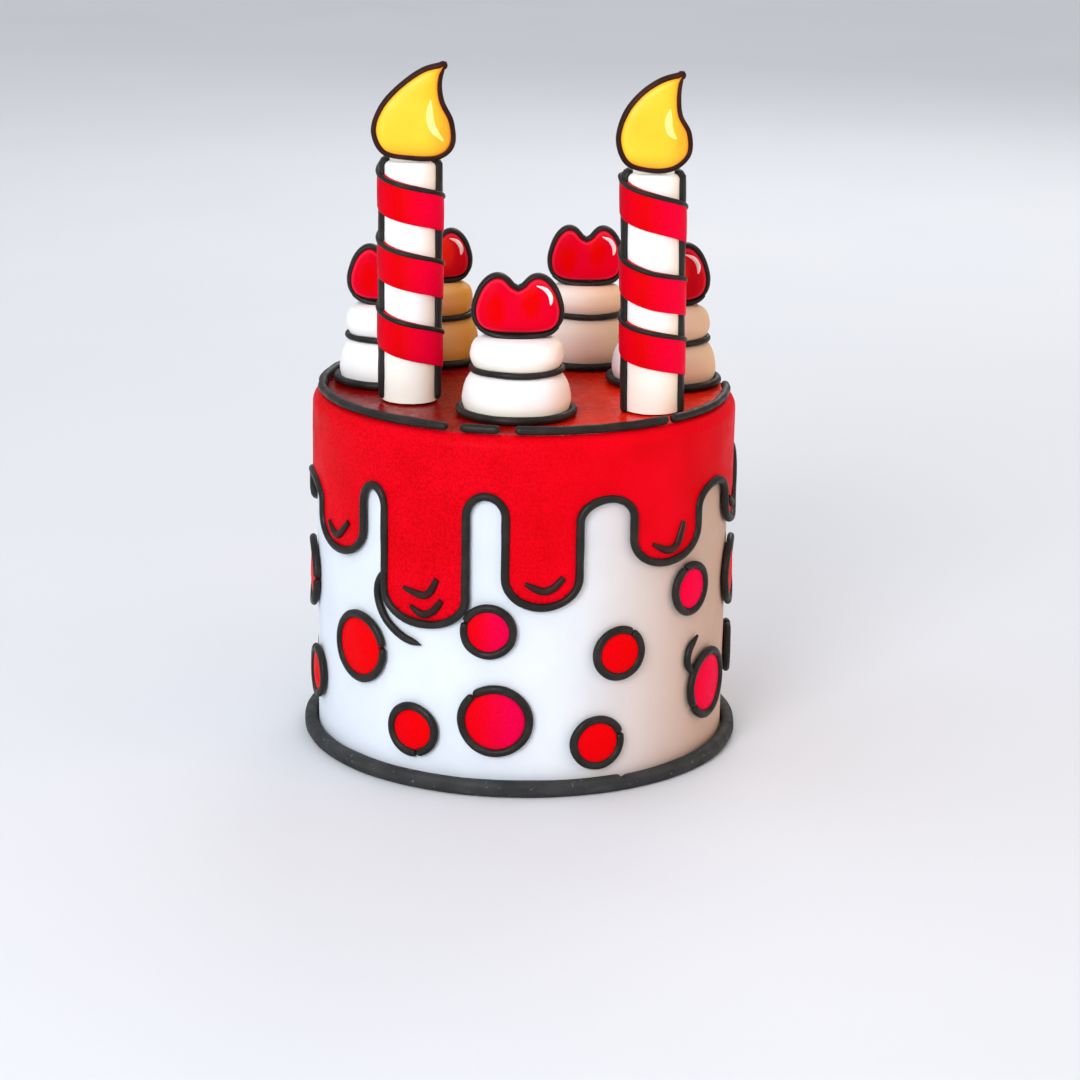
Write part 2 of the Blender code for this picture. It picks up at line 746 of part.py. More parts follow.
clear_scene()
CAKE = new_collection("iced_cake")
make_cake()
make_red_icing()
make_drip_outline()
make_base_rope()
make_rim_ropes()
make_dots()
for dollop, dimensions in DOLLOPS.items():
    make_dollop(dollop, dimensions)
for candle_name in CANDLES:
    make_candle(candle_name)
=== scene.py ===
"""The looks of an iced celebration cake. Each node of the frame gets smooth pieces that stand
for it, in separate colours: fondant, rolled ropes, cherries, ribbons and flames.

Metres, +Z up, the front at -Y. Angles are degrees round the cake, 0 at the front and rising
towards +X. Points in the lists are millimetres, and each use multiplies them by MM."""

import math

import bmesh
import bpy
from mathutils import Matrix, Vector, noise
from mathutils.geometry import delaunay_2d_cdt


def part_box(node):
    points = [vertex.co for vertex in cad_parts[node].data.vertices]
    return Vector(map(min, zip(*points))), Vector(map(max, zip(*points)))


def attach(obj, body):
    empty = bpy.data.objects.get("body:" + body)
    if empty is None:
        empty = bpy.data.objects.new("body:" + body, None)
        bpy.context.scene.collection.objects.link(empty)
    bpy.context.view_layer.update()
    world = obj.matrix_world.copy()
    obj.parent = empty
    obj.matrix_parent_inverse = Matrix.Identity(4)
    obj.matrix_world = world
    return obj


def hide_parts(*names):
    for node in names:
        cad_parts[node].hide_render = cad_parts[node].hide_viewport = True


MM = 0.001
GAP = 0.3 * MM
SPLINE_PARTS = 16
UP = Vector((0, 0, 1))
FRONT = Vector((0, -1, 0))
BACK = Vector((0, 1, 0))

# Cake and red icing
CAKE_RADIUS = 80 * MM
CAKE_TOP = 135.5 * MM
CAKE_SHOULDER = 3.2 * MM
ICING_THICKNESS = 1.5 * MM
ICING_RADIUS = 82.0 * MM
ICING_TOP = 137.5 * MM
ICING_SHOULDER = 5.2 * MM
ICING_UNDER_ROPE = 0.4 * MM
ICING_COLUMNS = 240
ICING_ROW = 2.5 * MM
ICING_RING = 4 * MM
ICING_WAVE = 0.16 * MM
ICING_WAVE_SIZE = 15 * MM
BEND_ROWS = 6
SAME_POINT = 1e-7
SHOULDER_STEPS = 5
CAKE_ROWS = 26
FOOT_BEVEL = 0.2 * MM
BODY_WAVE = 0.12 * MM

# Ropes
BASE_ROPE_DEPTH = 5.6 * MM
BASE_ROPE_HEIGHT = 6.5 * MM
# Where the two ends of the base rope meet, how much it pinches in there, and over how many degrees
BASE_SEAM = 28
SEAM_PINCH = 0.16
SEAM_REACH = 0.8
# How much thinner the rope starts, and the steps over which that fades
SEAM_THIN = 0.09
SEAM_THIN_STEPS = 26
BASE_STEPS = 300
BASE_SIDES = 24
# The power that makes its section squarer than an ellipse, its lumps, and the height below which
# it stays flat
BASE_SQUARE = 0.8
BASE_LUMP = 0.22 * MM
BASE_LUMP_SIZE = 13 * MM
BASE_FLAT = 0.5 * MM
DRIP_ROPE = 1.6 * MM
RIM_ROPE = 1.65 * MM
RIM_RADIUS = 78 * MM
RIM_STEP = 0.8 * MM
RIM_SWAY = 0.5 * MM
RED_TOP_RADIUS = RIM_RADIUS - 0.6 * MM
# The ropes on the dollops: between the tiers, and at a cherry's foot
THIN_ROPE = 1.2 * MM
FOOT_ROPE_SIZE = 0.95 * MM
STROKE = 1.5 * MM
STROKE_POINTS = 48
STROKE_OUT = GAP + STROKE * 0.8
ROPE_STEP = 1.2 * MM
ROPE_SIDES = 14
UNEVEN_SIZE = 9 * MM
# How much the thickness of strokes, thin lines and ropes varies
STROKE_UNEVEN = 0.05
LINE_UNEVEN = 0.08
ROPE_UNEVEN = 0.1
WAVE_SHARE = 0.8
# How far ropes stray from their line
SWAY = 0.25 * MM

# Each drip: middle angle, half width in degrees, height of its tip
DRIPS = [
    (-101.0, 9.5, 89.6 * MM),
    (-57.0, 10.8, 84.2 * MM),
    (-26.4, 11.9, 64.0 * MM),
    (5.4, 9.6, 73.4 * MM),
    (41.8, 11.6, 85.8 * MM),
    (80.0, 9.5, 90.6 * MM),
    (114.0, 10.5, 71.6 * MM),
    (149.0, 9.5, 84.6 * MM),
    (186.0, 11.0, 68.6 * MM),
    (224.0, 10.0, 81.6 * MM),
]
# The top of the white between each drip and the next one
ARCH_TOPS = [h * MM for h in (106.5, 113.6, 115.0, 113.3, 111.2, 113.6, 115.6, 112.6, 115.1, 114.1)]
TIP_ROUND = 11 * MM
ARCH_ROUND = 8 * MM
# The most that each round may take of the height between a drip's tip and the arch's top
TIP_SHARE = 0.55
ARCH_SHARE = 0.4
TURN_POINTS = 25

# Short black strokes on the drips and beside them, as angle and height along each
DRIP_STROKES = [
    [(-106, 101.6), (-101.5, 96.6), (-96, 101.1)],
    [(-62.8, 93.3), (-57.9, 89.4), (-52.2, 96.2)],
    [(-32.1, 76.9), (-26.6, 75.2), (-24.2, 76.8), (-22.2, 82.1)],
    [(-30.0, 70.4), (-26.3, 67.8), (-23.2, 69.8), (-20.9, 74.1)],
    [(0.9, 82.6), (5.3, 79.8), (8.2, 80.9), (10.9, 84.8)],
    [(36.2, 93.8), (41.0, 90.6), (44.4, 91.8), (47.0, 100.2)],
    [(75, 100.6), (80, 96.4), (85, 100.6)],
    [(108, 81.6), (114, 77.9), (119.5, 83.1)],
    [(144, 94.6), (149, 91.0), (154, 95.6)],
    [(180, 78.6), (186, 75.0), (192, 80.1)],
    [(218.5, 91.6), (224, 88.0), (229.5, 92.6)],
]
SIDE_STROKE = [(-38.7, 81.6), (-40.9, 75.6), (-40.6, 69.0), (-37.8, 62.5), (-32.6, 57.6), (-26.8, 55.5)]
DOT_STROKE = [(55.6, 52.4), (51.9, 48.2), (51.2, 42.6), (53.6, 38.0)]

# Where the rim ropes start and end
RIM_PIECES = [(-130, -20.8), (-16.9, -6.4), (-2.2, 42.6), (44.2, 92.6), (116.4, 205.8)]

# Dots: angle, height of the middle, outer radius
BIG_DOT = 14.1 * MM
SMALL_DOT = 10.7 * MM
DOT_GAP = 0.45 * MM
DOT_RING = 1.6 * MM
DOT_RING_DEPTH = 1.42 * MM
DOT_JOINT = 1.6
DOT_FACE_RISE = 2.0 * MM
DOT_FACE_DOME = 0.9 * MM
DOT_SHARES = (0.12, 0.3, 0.5, 0.7, 0.84, 0.93, 0.98, 1.0)
# From this share of its radius on, a dot's face rolls down by this depth
DOT_ROLL = 0.9
DOT_ROLL_DEPTH = 0.5 * MM
DOT_SIDES = 48
RING_POINTS = 90
DOTS = [
    (-84.5, 65.1, BIG_DOT),
    (-75.0, 28.1, SMALL_DOT),
    (-48.0, 49.1, BIG_DOT),
    (-29.3, 22.0, SMALL_DOT),
    (-8.4, 63.6, SMALL_DOT),
    (-6.4, 29.1, BIG_DOT),
    (20.9, 19.6, SMALL_DOT),
    (26.8, 53.6, SMALL_DOT),
    (51.4, 72.6, SMALL_DOT),
    (61.6, 31.4, BIG_DOT),
    (83.0, 68.6, BIG_DOT),
    (91.0, 33.6, SMALL_DOT),
    (112.0, 47.6, SMALL_DOT),
    (134.0, 25.6, BIG_DOT),
    (153.0, 55.6, SMALL_DOT),
    (174.0, 25.6, SMALL_DOT),
    (194.0, 45.6, BIG_DOT),
    (213.0, 22.6, SMALL_DOT),
    (231.0, 51.6, BIG_DOT),
    (252.0, 26.6, SMALL_DOT),
]
CRIMSON_DOTS = (9, 10, 15, 19)
TURNING_DOTS = (5, 6, 13, 17)
STROKED_DOT = "dot_10"
# Where each ring's two ends meet, in degrees round the dot from its right side
RING_JOINTS = (0, 100, 10, -77, 159, 130, 18, 57, 115, 215)

# Dollops: each tier's outline, as share of its widest radius and share of its height
LOWER_OUTLINE = [(0.86, 0), (0.94, 0.06), (1.0, 0.3), (0.97, 0.6), (0.905, 0.8), (0.81, 0.95), (0.74, 1)]
UPPER_OUTLINE = [(0.78, 0), (0.9, 0.07), (0.985, 0.3), (1.0, 0.52), (0.93, 0.83), (0.73, 1)]
TIER_SIDES = 72
TIER_WAVE = 0.35 * MM
TIER_POINTS = 28
RING_ROPE_POINTS = 120
MIDDLE_ROPE_SHARE = 0.815
MIDDLE_ROPE_RISE = 0.6 * MM
MIDDLE_ROPE_SWAY = 0.3 * MM
BASE_RING_SHARE = 1.03
BASE_RING_SIZE = 1.5 * MM
BASE_RING_SWAY = 0.15 * MM
DOLLOPS = ("front", "left", "right", "back_left", "back_right")
DARK_CHERRIES = ("right", "back_left")

# Half of the two-lobed cherry's edge, from the notch to the middle of its foot, for the front one
CHERRY_HALF = [(1.6, 20.7), (3.3, 22.6), (5.4, 24.1), (8.1, 24.6), (10.7, 23.8), (13.1, 21.9), (15.2, 19.0),
               (16.8, 15.2), (17.8, 10.8), (17.3, 6.2), (15.1, 2.7), (11.0, 0.8), (5.5, 0.1)]
CHERRY_NOTCH = 19.7
CHERRY_WIDTH = 17.9
CHERRY_HEIGHT = 24.6
CHERRY_SIZE = 0.965
CHERRY_POINTS = 96
CHERRY_DEPTH = 6.0 * MM
CHERRY_LINE = 1.22 * MM
CHERRY_LINE_DEPTH = 2.4 * MM
# Standing plates: their edge's thickness as a share of the dark line's depth, the steps from the
# middle to the edge, and the angle from which an edge is left sharp
PLATE_THIN = 0.8
PLATE_STEPS = 16
PLATE_SHARP = 80
# The share of the inset that a point of a line keeps at least when the line is drawn in
LOOP_SHARE = 0.92
GLINT_DEPTH = 0.45 * MM
PINK_GLINT_WIDTH = 0.85 * MM
YELLOW_GLINT_WIDTH = 1.7 * MM
# The clear red spot in each lobe, painted shading of the puffed lobe: its middle, and its half width and half
# height
LOBES = [(-8.3, 11.0), (5.2, 13.8)]
LOBE_SIZE = (3.9, 7.0)
CHERRY_GLINT = [(7.0, 20.5), (10.4, 19.1), (12.3, 16.6), (12.5, 13.9), (11.6, 12.0)]
# The rope at a cherry's foot, in millimetres: half its reach, how far its middle stands out, how far
# it bends back at its ends, and its lift
FOOT_ROPE_REACH = 16
FOOT_ROPE_OUT = 5.4
FOOT_ROPE_BEND = 4.2
FOOT_ROPE_LIFT = 0.6
FOOT_ROPE = [(-15.2, 3.2), (-11.5, 0.9), (-5.5, -0.3), (1.5, -0.4), (8.5, 0.2), (12.8, 1.2), (15.6, 3.6)]

# Candles: foot, lean as sideways shift per height, heights of the ribbon's middle at the front
CANDLES = {
    "left": dict(x=-43.3, y=-23.5, lean=0.0, height=90.8, ribbon=(238.6, 213.6, 188.5, 162.3, 136.6)),
    "right": dict(x=48.0, y=-35.0, lean=-0.02, height=89.3, ribbon=(241.1, 213.6, 184.8, 162.6, 138.6)),
}
CANDLE_RADIUS = 10.6 * MM
CANDLE_SIDES = 72
CANDLE_EDGE = 2 * MM
CANDLE_ROWS = 24
EDGE_STEPS = 6
RIBBON_WIDTH = 14.6 * MM
RIBBON_IN = 10.5 * MM
RIBBON_OUT = 12.45 * MM
RIBBON_SOFT = 0.7 * MM
RIBBON_CROWN = 0.1 * MM
RIBBON_LINE = 1.9 * MM
RIBBON_EVEN = 1.5 * MM
RIBBON_STEP = 5
RIBBON_END = 1240
RIBBON_LEAST = 3.0 * MM
# The black strips: the angle of each from the front, half width and half depth
STRIP_ANGLE = 76
STRIP_WIDTH = 2.8 * MM
STRIP_DEPTH = 1.3 * MM
# Their path from foot to top, as distance from the axis and height below or over the candle's top
STRIP_PATH = [(10.9, -89.8), (10.9, -60.0), (10.9, -30.0), (10.9, -3.6), (10.6, -1.0), (9.7, 0.3), (8.2, 0.7)]

# The flames' edges, anticlockwise from the tip, with the middle of the foot at 0, 0
FLAMES = {
    "left": [(13.6, 36.7), (4.6, 34.4), (-4.9, 27.6), (-11.8, 19.4), (-14.4, 10.4), (-10.2, 2.2),
             (0.5, 0.1), (11.0, 0.6), (16.5, 5.7), (16.2, 14.6), (12.6, 22.2), (11.8, 29.0)],
    "right": [(10.4, 37.4), (1.8, 35.0), (-6.3, 29.4), (-12.1, 21.4), (-14.3, 11.6), (-10.4, 2.8),
              (-0.6, 0.1), (8.0, 1.4), (13.4, 6.9), (13.3, 15.0), (9.8, 21.8), (9.2, 29.4)],
}
FLAME_GLINTS = {
    "left": [(7.6, 22.8), (7.1, 17.2), (8.1, 13.0), (10.0, 10.2), (12.4, 7.9)],
    "right": [(5.2, 23.8), (4.5, 18.7), (5.5, 15.0), (8.4, 12.5)],
}
FLAME_POINTS = 120
FLAME_DEPTH = 3.3 * MM
FLAME_LINE = 1.4 * MM
FLAME_LINE_DEPTH = 1.7 * MM

# Camera, from the photograph: place, focal length, and its pitch, turn and roll in radians
CAMERA_PLACE = (0, -1.060, 0.3776)
CAMERA_LENS = 93.33
CAMERA_SENSOR = 36
CAMERA_PITCH = 0.277164
CAMERA_TURN = 0.006679
CAMERA_ROLL = 0.016410

# Each light: place, what it points at, diameter, watts and colour
LIGHTS = {
    "key": ((-0.6, -1.5, 0.8), (0, 0, 0.12), 0.8, 19.5, (0.97, 0.985, 1.0)),
    "fill": ((1.6, -0.6, 0.55), (0, 0, 0.1), 0.9, 6.0, (1.0, 0.66, 0.46)),
    "side": ((-1.6, 0.2, 0.8), (0, 0, 0.1), 1.0, 2, (0.88, 0.94, 1.0)),
    "back": ((0.4, 1.5, 1.2), (0, 0, 0.1), 1.0, 8, (1.0, 0.98, 0.95)),
    "sky": ((0, 1.0, 5.0), (0, 1.0, 0), 14.0, 250, (0.97, 0.98, 1.0)),
}
WORLD_STOPS = [(0.0, (0.82, 0.88, 0.97, 1)), (1.0, (0.8, 0.72, 0.66, 1))]
WORLD_STRENGTH = 0.54


def srgb(red, green, blue):
    """A colour of the photograph, from 0 to 255, as linear light."""
    linear = []
    for value in (red, green, blue):
        share = value / 255
        linear.append(share / 12.92 if share <= 0.04045 else ((share + 0.055) / 1.055) ** 2.4)
    return (*linear, 1.0)


WHITE = srgb(248, 248, 248)
SOFT_WHITE = srgb(242, 243, 245)
COOL_WHITE = srgb(226, 233, 241)
COOL_SHADE = srgb(217, 225, 234)
# Tints painted onto white icing: warm painted shade towards the right and the foot, and ivory painted light
# at the foot against the pink light bounced off the red top
PAINTED_CREAM_SHADE = srgb(250, 238, 216)
PAINTED_IVORY_LIGHT = srgb(255, 248, 222)
PAINTED_TAN_SHADE = srgb(232, 190, 148)
PAINTED_OCHRE_SHADE = srgb(232, 166, 56)
PAINTED_WARM_SHADE = srgb(206, 170, 146)
PAINTED_PALE_TAN_SHADE = srgb(255, 236, 208)
RED = srgb(233, 2, 26)
RED_DEEP = srgb(217, 1, 16)
# The top's red: painted shade and painted light
TOP_PAINTED_SHADE = srgb(138, 6, 5)
TOP_PAINTED_LIGHT = srgb(238, 36, 10)
CRIMSON = srgb(238, 0, 50)
CRIMSON_PAINTED_SHADE = srgb(196, 0, 34)
SCARLET = srgb(220, 1, 5)
BLACK = srgb(29, 26, 24)
BLACK_WORN = srgb(47, 43, 40)
BASE_GREY = srgb(42, 43, 44)
BASE_GREY_WORN = srgb(58, 59, 60)
BASE_FLECK = srgb(112, 113, 114)
BROWN = srgb(44, 15, 9)
YELLOW = srgb(255, 203, 42)
# Orange painted shade on the flames
ORANGE_PAINTED_SHADE = srgb(250, 158, 22)
PALE_YELLOW = srgb(255, 232, 112)
PALE_PINK = srgb(255, 206, 206)
FLOOR = srgb(216, 220, 226)
FLOOR_PALE = srgb(220, 223, 228)
WARM_BLACK = srgb(38, 18, 14)
WARM_BLACK_WORN = srgb(60, 34, 28)
BROWN_WORN = srgb(66, 30, 20)
DOT_PAINTED_CREASE_SHADE = srgb(120, 10, 8)
CHERRY_PALE = srgb(246, 56, 80)
DEEP_YELLOW = srgb(255, 194, 30)
# Deeper orange painted shade near a flame's outline
DEEP_ORANGE_PAINTED_SHADE = srgb(236, 138, 22)
WARM_WHITE = srgb(255, 242, 158)
PINK_WHITE = srgb(255, 240, 236)
UNCHANGED = (1.0, 1.0, 1.0, 1.0)
# The ribbon's colours from its left to its right, with painted shade at the left
RIBBON_STOPS = [(0.0, CRIMSON_PAINTED_SHADE), (0.14, srgb(222, 0, 22)), (0.36, SCARLET), (0.75, CRIMSON),
                (1.0, srgb(255, 0, 56))]

# Each finish: lowest and highest roughness, and specular level
WHITE_GLOSS = (0.5, 0.62, 0.3)
RED_GLOSS = (0.42, 0.52, 0.025)
TOP_GLOSS = (0.2, 0.34, 0.07)
BLACK_GLOSS = (0.36, 0.52, 0.2)
BROWN_GLOSS = (0.4, 0.55, 0.15)
BASE_GLOSS = (0.62, 0.78, 0.25)
FLAME_GLOSS = (0.36, 0.48, 0.3)
GLINT_GLOSS = (0.35, 0.45, 0.35)
# Depths of the bumps in sugar paste, and the size of the coarse grain
FONDANT_DIMPLE = 0.2 * MM
FONDANT_GRAIN = 0.012 * MM
GRAIN_SIZE = 0.9 * MM


def polar(radius, angle, height):
    turn = math.radians(angle)
    return Vector((radius * math.sin(turn), -radius * math.cos(turn), height))


def wrapped(along, up, out, angle=0.0):
    """A point of a flat drawing laid round the cake's side: along and up it, and out from it."""
    return polar(CAKE_RADIUS + out, angle + math.degrees(along / CAKE_RADIUS), up)


def outwards(point):
    """The direction straight out of the cake's side at the point."""
    return Vector((point.x, point.y, 0)).normalized()


def upright(spot, y=0.0):
    """A point of a flat drawing in millimetres, stood up that far behind the axis."""
    return Vector((spot.x * MM, y, spot.y * MM))


def circle(count):
    """Cosine and sine at even steps round a circle."""
    turns = [math.tau * k / count for k in range(count)]
    return [(math.cos(turn), math.sin(turn)) for turn in turns]


def lengths_along(points):
    """How far along the line each of its points lies."""
    lengths = [0.0]
    for a, b in zip(points, points[1:]):
        lengths.append(lengths[-1] + (b - a).length)
    return lengths


def spline_points(controls, count, closed=False):
    """Points at even steps on a smooth curve through the controls, sharp at its start if closed."""
    controls = [Vector(point) for point in controls]
    if closed:
        controls.append(controls[0])
    fine = []
    for span, (start, end) in enumerate(zip(controls, controls[1:])):
        before = controls[max(span - 1, 0)]
        after = controls[min(span + 2, len(controls) - 1)]
        for k in range(SPLINE_PARTS):
            t = k / SPLINE_PARTS
            square = (2 * before - 5 * start + 4 * end - after) * t**2
            cube = (3 * start - before - 3 * end + after) * t**3
            fine.append(0.5 * (2 * start + (end - before) * t + square + cube))
    fine.append(controls[-1])
    return even_points(fine, count, closed)


def even_points(line, count, closed):
    """Points at even steps along a line of close points. A closed line ends on its first point."""
    lengths = lengths_along(line)
    wanted = count if closed else count - 1
    points = []
    at = 0
    for k in range(count):
        goal = lengths[-1] * k / wanted
        while at < len(line) - 2 and lengths[at + 1] < goal:
            at += 1
        share = (goal - lengths[at]) / max(lengths[at + 1] - lengths[at], 1e-12)
        points.append(line[at].lerp(line[at + 1], min(share, 1.0)))
    return points


def face_outwards(bm):
    bmesh.ops.recalc_face_normals(bm, faces=bm.faces)
    if bm.calc_volume(signed=True) < 0:
        bmesh.ops.reverse_faces(bm, faces=bm.faces)


def made_mesh(name, bm, *looks):
    """The finished mesh, its faces outwards, with the materials of those looks."""
    face_outwards(bm)
    mesh = bpy.data.meshes.new(name)
    bm.to_mesh(mesh)
    bm.free()
    mesh.shade_smooth()
    for look in looks:
        mesh.materials.append(LOOKS[look])
    return mesh


def place_piece(name, mesh, node):
    """An object for the mesh that rides on the cake and stands for the node."""
    piece = bpy.data.objects.new(name, mesh)
    bpy.context.scene.collection.objects.link(piece)
    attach(piece, "root")
    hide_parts(node)
    return piece


def add_piece(name, bm, look, node, sharp=60):
    mesh = made_mesh(name, bm, look)
    mesh.set_sharp_from_angle(angle=math.radians(sharp))
    place_piece(name, mesh, node)


def join_rows(bm, rows, closed, middles=None):
    """Faces between rows of as many points each. Open ends get a fan, on the middles if given."""
    pairs = list(zip(rows, rows[1:]))
    if closed:
        pairs.append((rows[-1], rows[0]))
    for first, second in pairs:
        for i in range(len(first)):
            j = (i + 1) % len(first)
            bm.faces.new((first[i], first[j], second[j], second[i]))
    if closed:
        return
    for end, row in enumerate((rows[0], rows[-1])):
        place = middles[end] if middles else sum((v.co for v in row), Vector()) / len(row)
        middle = bm.verts.new(place)
        for i in range(len(row)):
            bm.faces.new((row[i], row[(i + 1) % len(row)], middle))


def sweep(points, outs, depth, width, closed=False, sizes=None, uneven=STROKE_UNEVEN):
    """A rope: an ellipse carried along the points, deep along the outs and wide across them.

    The outs are a direction for each point, one for all, or none for straight out of the cake's side.
    """
    bm = bmesh.new()
    rows = []
    count = len(points)
    if outs is None:
        outs = [outwards(point) for point in points]
    elif isinstance(outs, Vector):
        outs = [outs] * count
    for i, point in enumerate(points):
        before = points[i - 1] if closed or i > 0 else point
        after = points[(i + 1) % count] if closed or i < count - 1 else point
        along = (after - before).normalized()
        out = (outs[i] - along * outs[i].dot(along)).normalized()
        across = along.cross(out)
        size = 1 + uneven * noise.noise(point / UNEVEN_SIZE)
        if sizes is not None:
            size *= sizes[i]
        row = []
        for c, s in circle(ROPE_SIDES):
            offset = out * (depth * c) + across * (width * s)
            row.append(bm.verts.new(point + offset * size))
        rows.append(row)
    join_rows(bm, rows, closed)
    return bm


def round_ends(points, reach, least):
    """Sizes along an open rope that round its ends off over the reach."""
    lengths = lengths_along(points)
    sizes = []
    for length in lengths:
        inside = min(length, lengths[-1] - length) / reach
        sizes.append(max(least, math.sqrt(max(0.0, 1 - (1 - min(inside, 1.0)) ** 2))))
    return sizes


def tapered(count, first, last, reach):
    """Sizes of a stroke that is full in between and thinner over the reach at either end."""
    sizes = []
    for i in range(count):
        share = i / (count - 1)
        start = first + (1 - first) * math.sin(math.pi / 2 * min(share / reach, 1))
        end = last + (1 - last) * math.sin(math.pi / 2 * min((1 - share) / reach, 1))
        sizes.append(min(start, end))
    return sizes


def turned(profile, sides, wave, seed=0.0):
    """A smooth turned solid from (radius, height) points, from the axis to the axis."""
    bm = bmesh.new()
    rows = []
    for radius, height in profile[1:-1]:
        row = []
        for c, s in circle(sides):
            point = Vector((radius * c, radius * s, height))
            push = wave * noise.noise(point / UNEVEN_SIZE * WAVE_SHARE + Vector((seed, 0, 0)))
            row.append(bm.verts.new(point + outwards(point) * push))
        rows.append(row)
    join_rows(bm, rows, False, [Vector((0, 0, profile[end][1])) for end in (0, -1)])
    return bm


def moved(bm, place):
    bmesh.ops.translate(bm, verts=bm.verts, vec=Vector(place))
    return bm


class Nodes:
    """A node tree, with short ways to add and link its nodes."""

    def __init__(self, tree):
        self.tree = tree
        self.place = tree.nodes.new("ShaderNodeTexCoord")

    def put(self, value, socket):
        """Gives a socket its value, which may be another node's output."""
        if isinstance(value, bpy.types.NodeSocket):
            self.tree.links.new(value, socket)
        else:
            socket.default_value = value

    def add(self, kind, **values):
        """A new node and the values of its inputs, in whose names an underscore stands for a space."""
        node = self.tree.nodes.new("ShaderNode" + kind)
        for name, value in values.items():
            self.put(value, node.inputs[name.replace("_", " ")])
        return node

    def noise(self, size, detail=2.0, stretch=None):
        """Noise with features of about that size in metres, in the cake's own space."""
        source = self.place.outputs["Object"]
        if stretch is not None:
            source = self.add("Mapping", Vector=source, Scale=stretch).outputs["Vector"]
        node = self.add("TexNoise", Vector=source, Scale=1 / size, Detail=detail, Roughness=0.55)
        return node.outputs["Fac"]

    def ramp(self, source, stops):
        """A colour ramp with the given places and colours."""
        node = self.add("ValToRGB", Fac=source)
        elements = node.color_ramp.elements
        while len(elements) < len(stops):
            elements.new(0.5)
        for element, (position, colour) in zip(elements, stops):
            element.position = position
            element.color = colour
        return node.outputs["Color"]

    def grey_ramp(self, source, stops):
        return self.ramp(source, [(position, (value, value, value, 1)) for position, value in stops])

    def range(self, source, low, high, first=0.0, last=1.0):
        """The source's stretch from low to high, eased onto the stretch from first to last."""
        node = self.add("MapRange", Value=source, From_Min=low, From_Max=high, To_Min=first, To_Max=last)
        node.interpolation_type = "SMOOTHSTEP"
        return node.outputs["Result"]

    def mix(self, share, first, second, blend="MIX"):
        """Two colours mixed. Each is a colour or another node's output."""
        node = self.add("Mix")
        node.data_type = "RGBA"
        node.blend_type = blend
        for value, socket in ((share, 0), (first, 6), (second, 7)):
            self.put(value, node.inputs[socket])
        return node.outputs[2]

    def darkened(self, colour, source, low, tone, high):
        """The colour multiplied by a grey tone where the source is low, and by white from high on."""
        return self.mix(1.0, colour, self.grey_ramp(source, [(low, tone), (high, 1.0)]), "MULTIPLY")

    def coordinate(self, axis, space="Generated"):
        """A point's place on an axis: from 0 to 1 across the piece's own box, or in metres."""
        return self.add("SeparateXYZ", Vector=self.place.outputs[space]).outputs[axis]

    def attribute(self, name):
        node = self.add("Attribute")
        node.attribute_name = name
        return node.outputs["Fac"]


class Finish(Nodes):
    """A material's node tree and its shader."""

    def __init__(self, name):
        self.material = bpy.data.materials.new(name)
        self.material.use_nodes = True
        super().__init__(self.material.node_tree)
        self.shader = self.tree.nodes["Principled BSDF"]

    def bump(self, layers):
        """Bumps on one another, each a height source and its depth in metres."""
        below = {}
        for source, depth in layers:
            node = self.add("Bump", Distance=depth, Strength=1.0, Height=source, **below)
            below = {"Normal": node.outputs["Normal"]}
        self.put(below["Normal"], self.shader.inputs["Normal"])

    def finish(self, colour, rough_low, rough_high, specular, rough_size=6 * MM):
        """Sets the shader: its colour, its roughness from noise between two values, and its gloss."""
        self.put(colour, self.shader.inputs["Base Color"])
        rough = self.range(self.noise(rough_size), 0.35, 0.65, rough_low, rough_high)
        self.put(rough, self.shader.inputs["Roughness"])
        self.put(specular, self.shader.inputs["Specular IOR Level"])
        return self.material


def fondant(nodes, colour, gloss, grain=FONDANT_GRAIN):
    """Smoothed sugar paste: shallow dimples under a fine sugar grain."""
    nodes.bump([(nodes.noise(7 * MM, 3), FONDANT_DIMPLE), (nodes.noise(0.5 * MM), grain)])
    return nodes.finish(colour, *gloss)


def white_material(name, right=None, low=None, plain=(SOFT_WHITE, WHITE)):
    """White icing, with warm painted shade towards its right and its foot; where the foot's tint is ivory, it
    is painted light against the pink light bounced off the red top.
    """
    nodes = Finish(name)
    colour = nodes.ramp(nodes.noise(30 * MM), [(0.3, plain[0]), (0.7, plain[1])])
    if low is not None:
        tint, share = low
        # Painted at the foot: warm painted shade, and ivory painted light on the candles and the front dollop
        colour = nodes.mix(nodes.range(nodes.coordinate("Z"), 0.6, 0.0, 0.0, share), colour, tint)
    if right is not None:
        tint, start, share = right
        # Painted shade: a warm tint towards the right side
        colour = nodes.mix(nodes.range(nodes.coordinate("X"), start, 1.0, 0.0, share), colour, tint)
    return fondant(nodes, colour, WHITE_GLOSS)


def red_side_material():
    """The poured red down the side: speckled with coarse grain at the left, smooth at the right."""
    nodes = Finish("red_icing")
    colour = nodes.ramp(nodes.noise(24 * MM), [(0.3, RED_DEEP), (0.7, RED)])
    smooth_share = nodes.range(nodes.coordinate("X", "Object"), -20 * MM, 50 * MM, 0.0, 0.85)
    grain = nodes.grey_ramp(nodes.noise(GRAIN_SIZE), [(0.36, 0.74), (0.6, 1.0)])
    grain = nodes.mix(smooth_share, grain, UNCHANGED)
    colour = nodes.mix(1.0, colour, grain, "MULTIPLY")
    return fondant(nodes, colour, RED_GLOSS, 0.02 * MM)


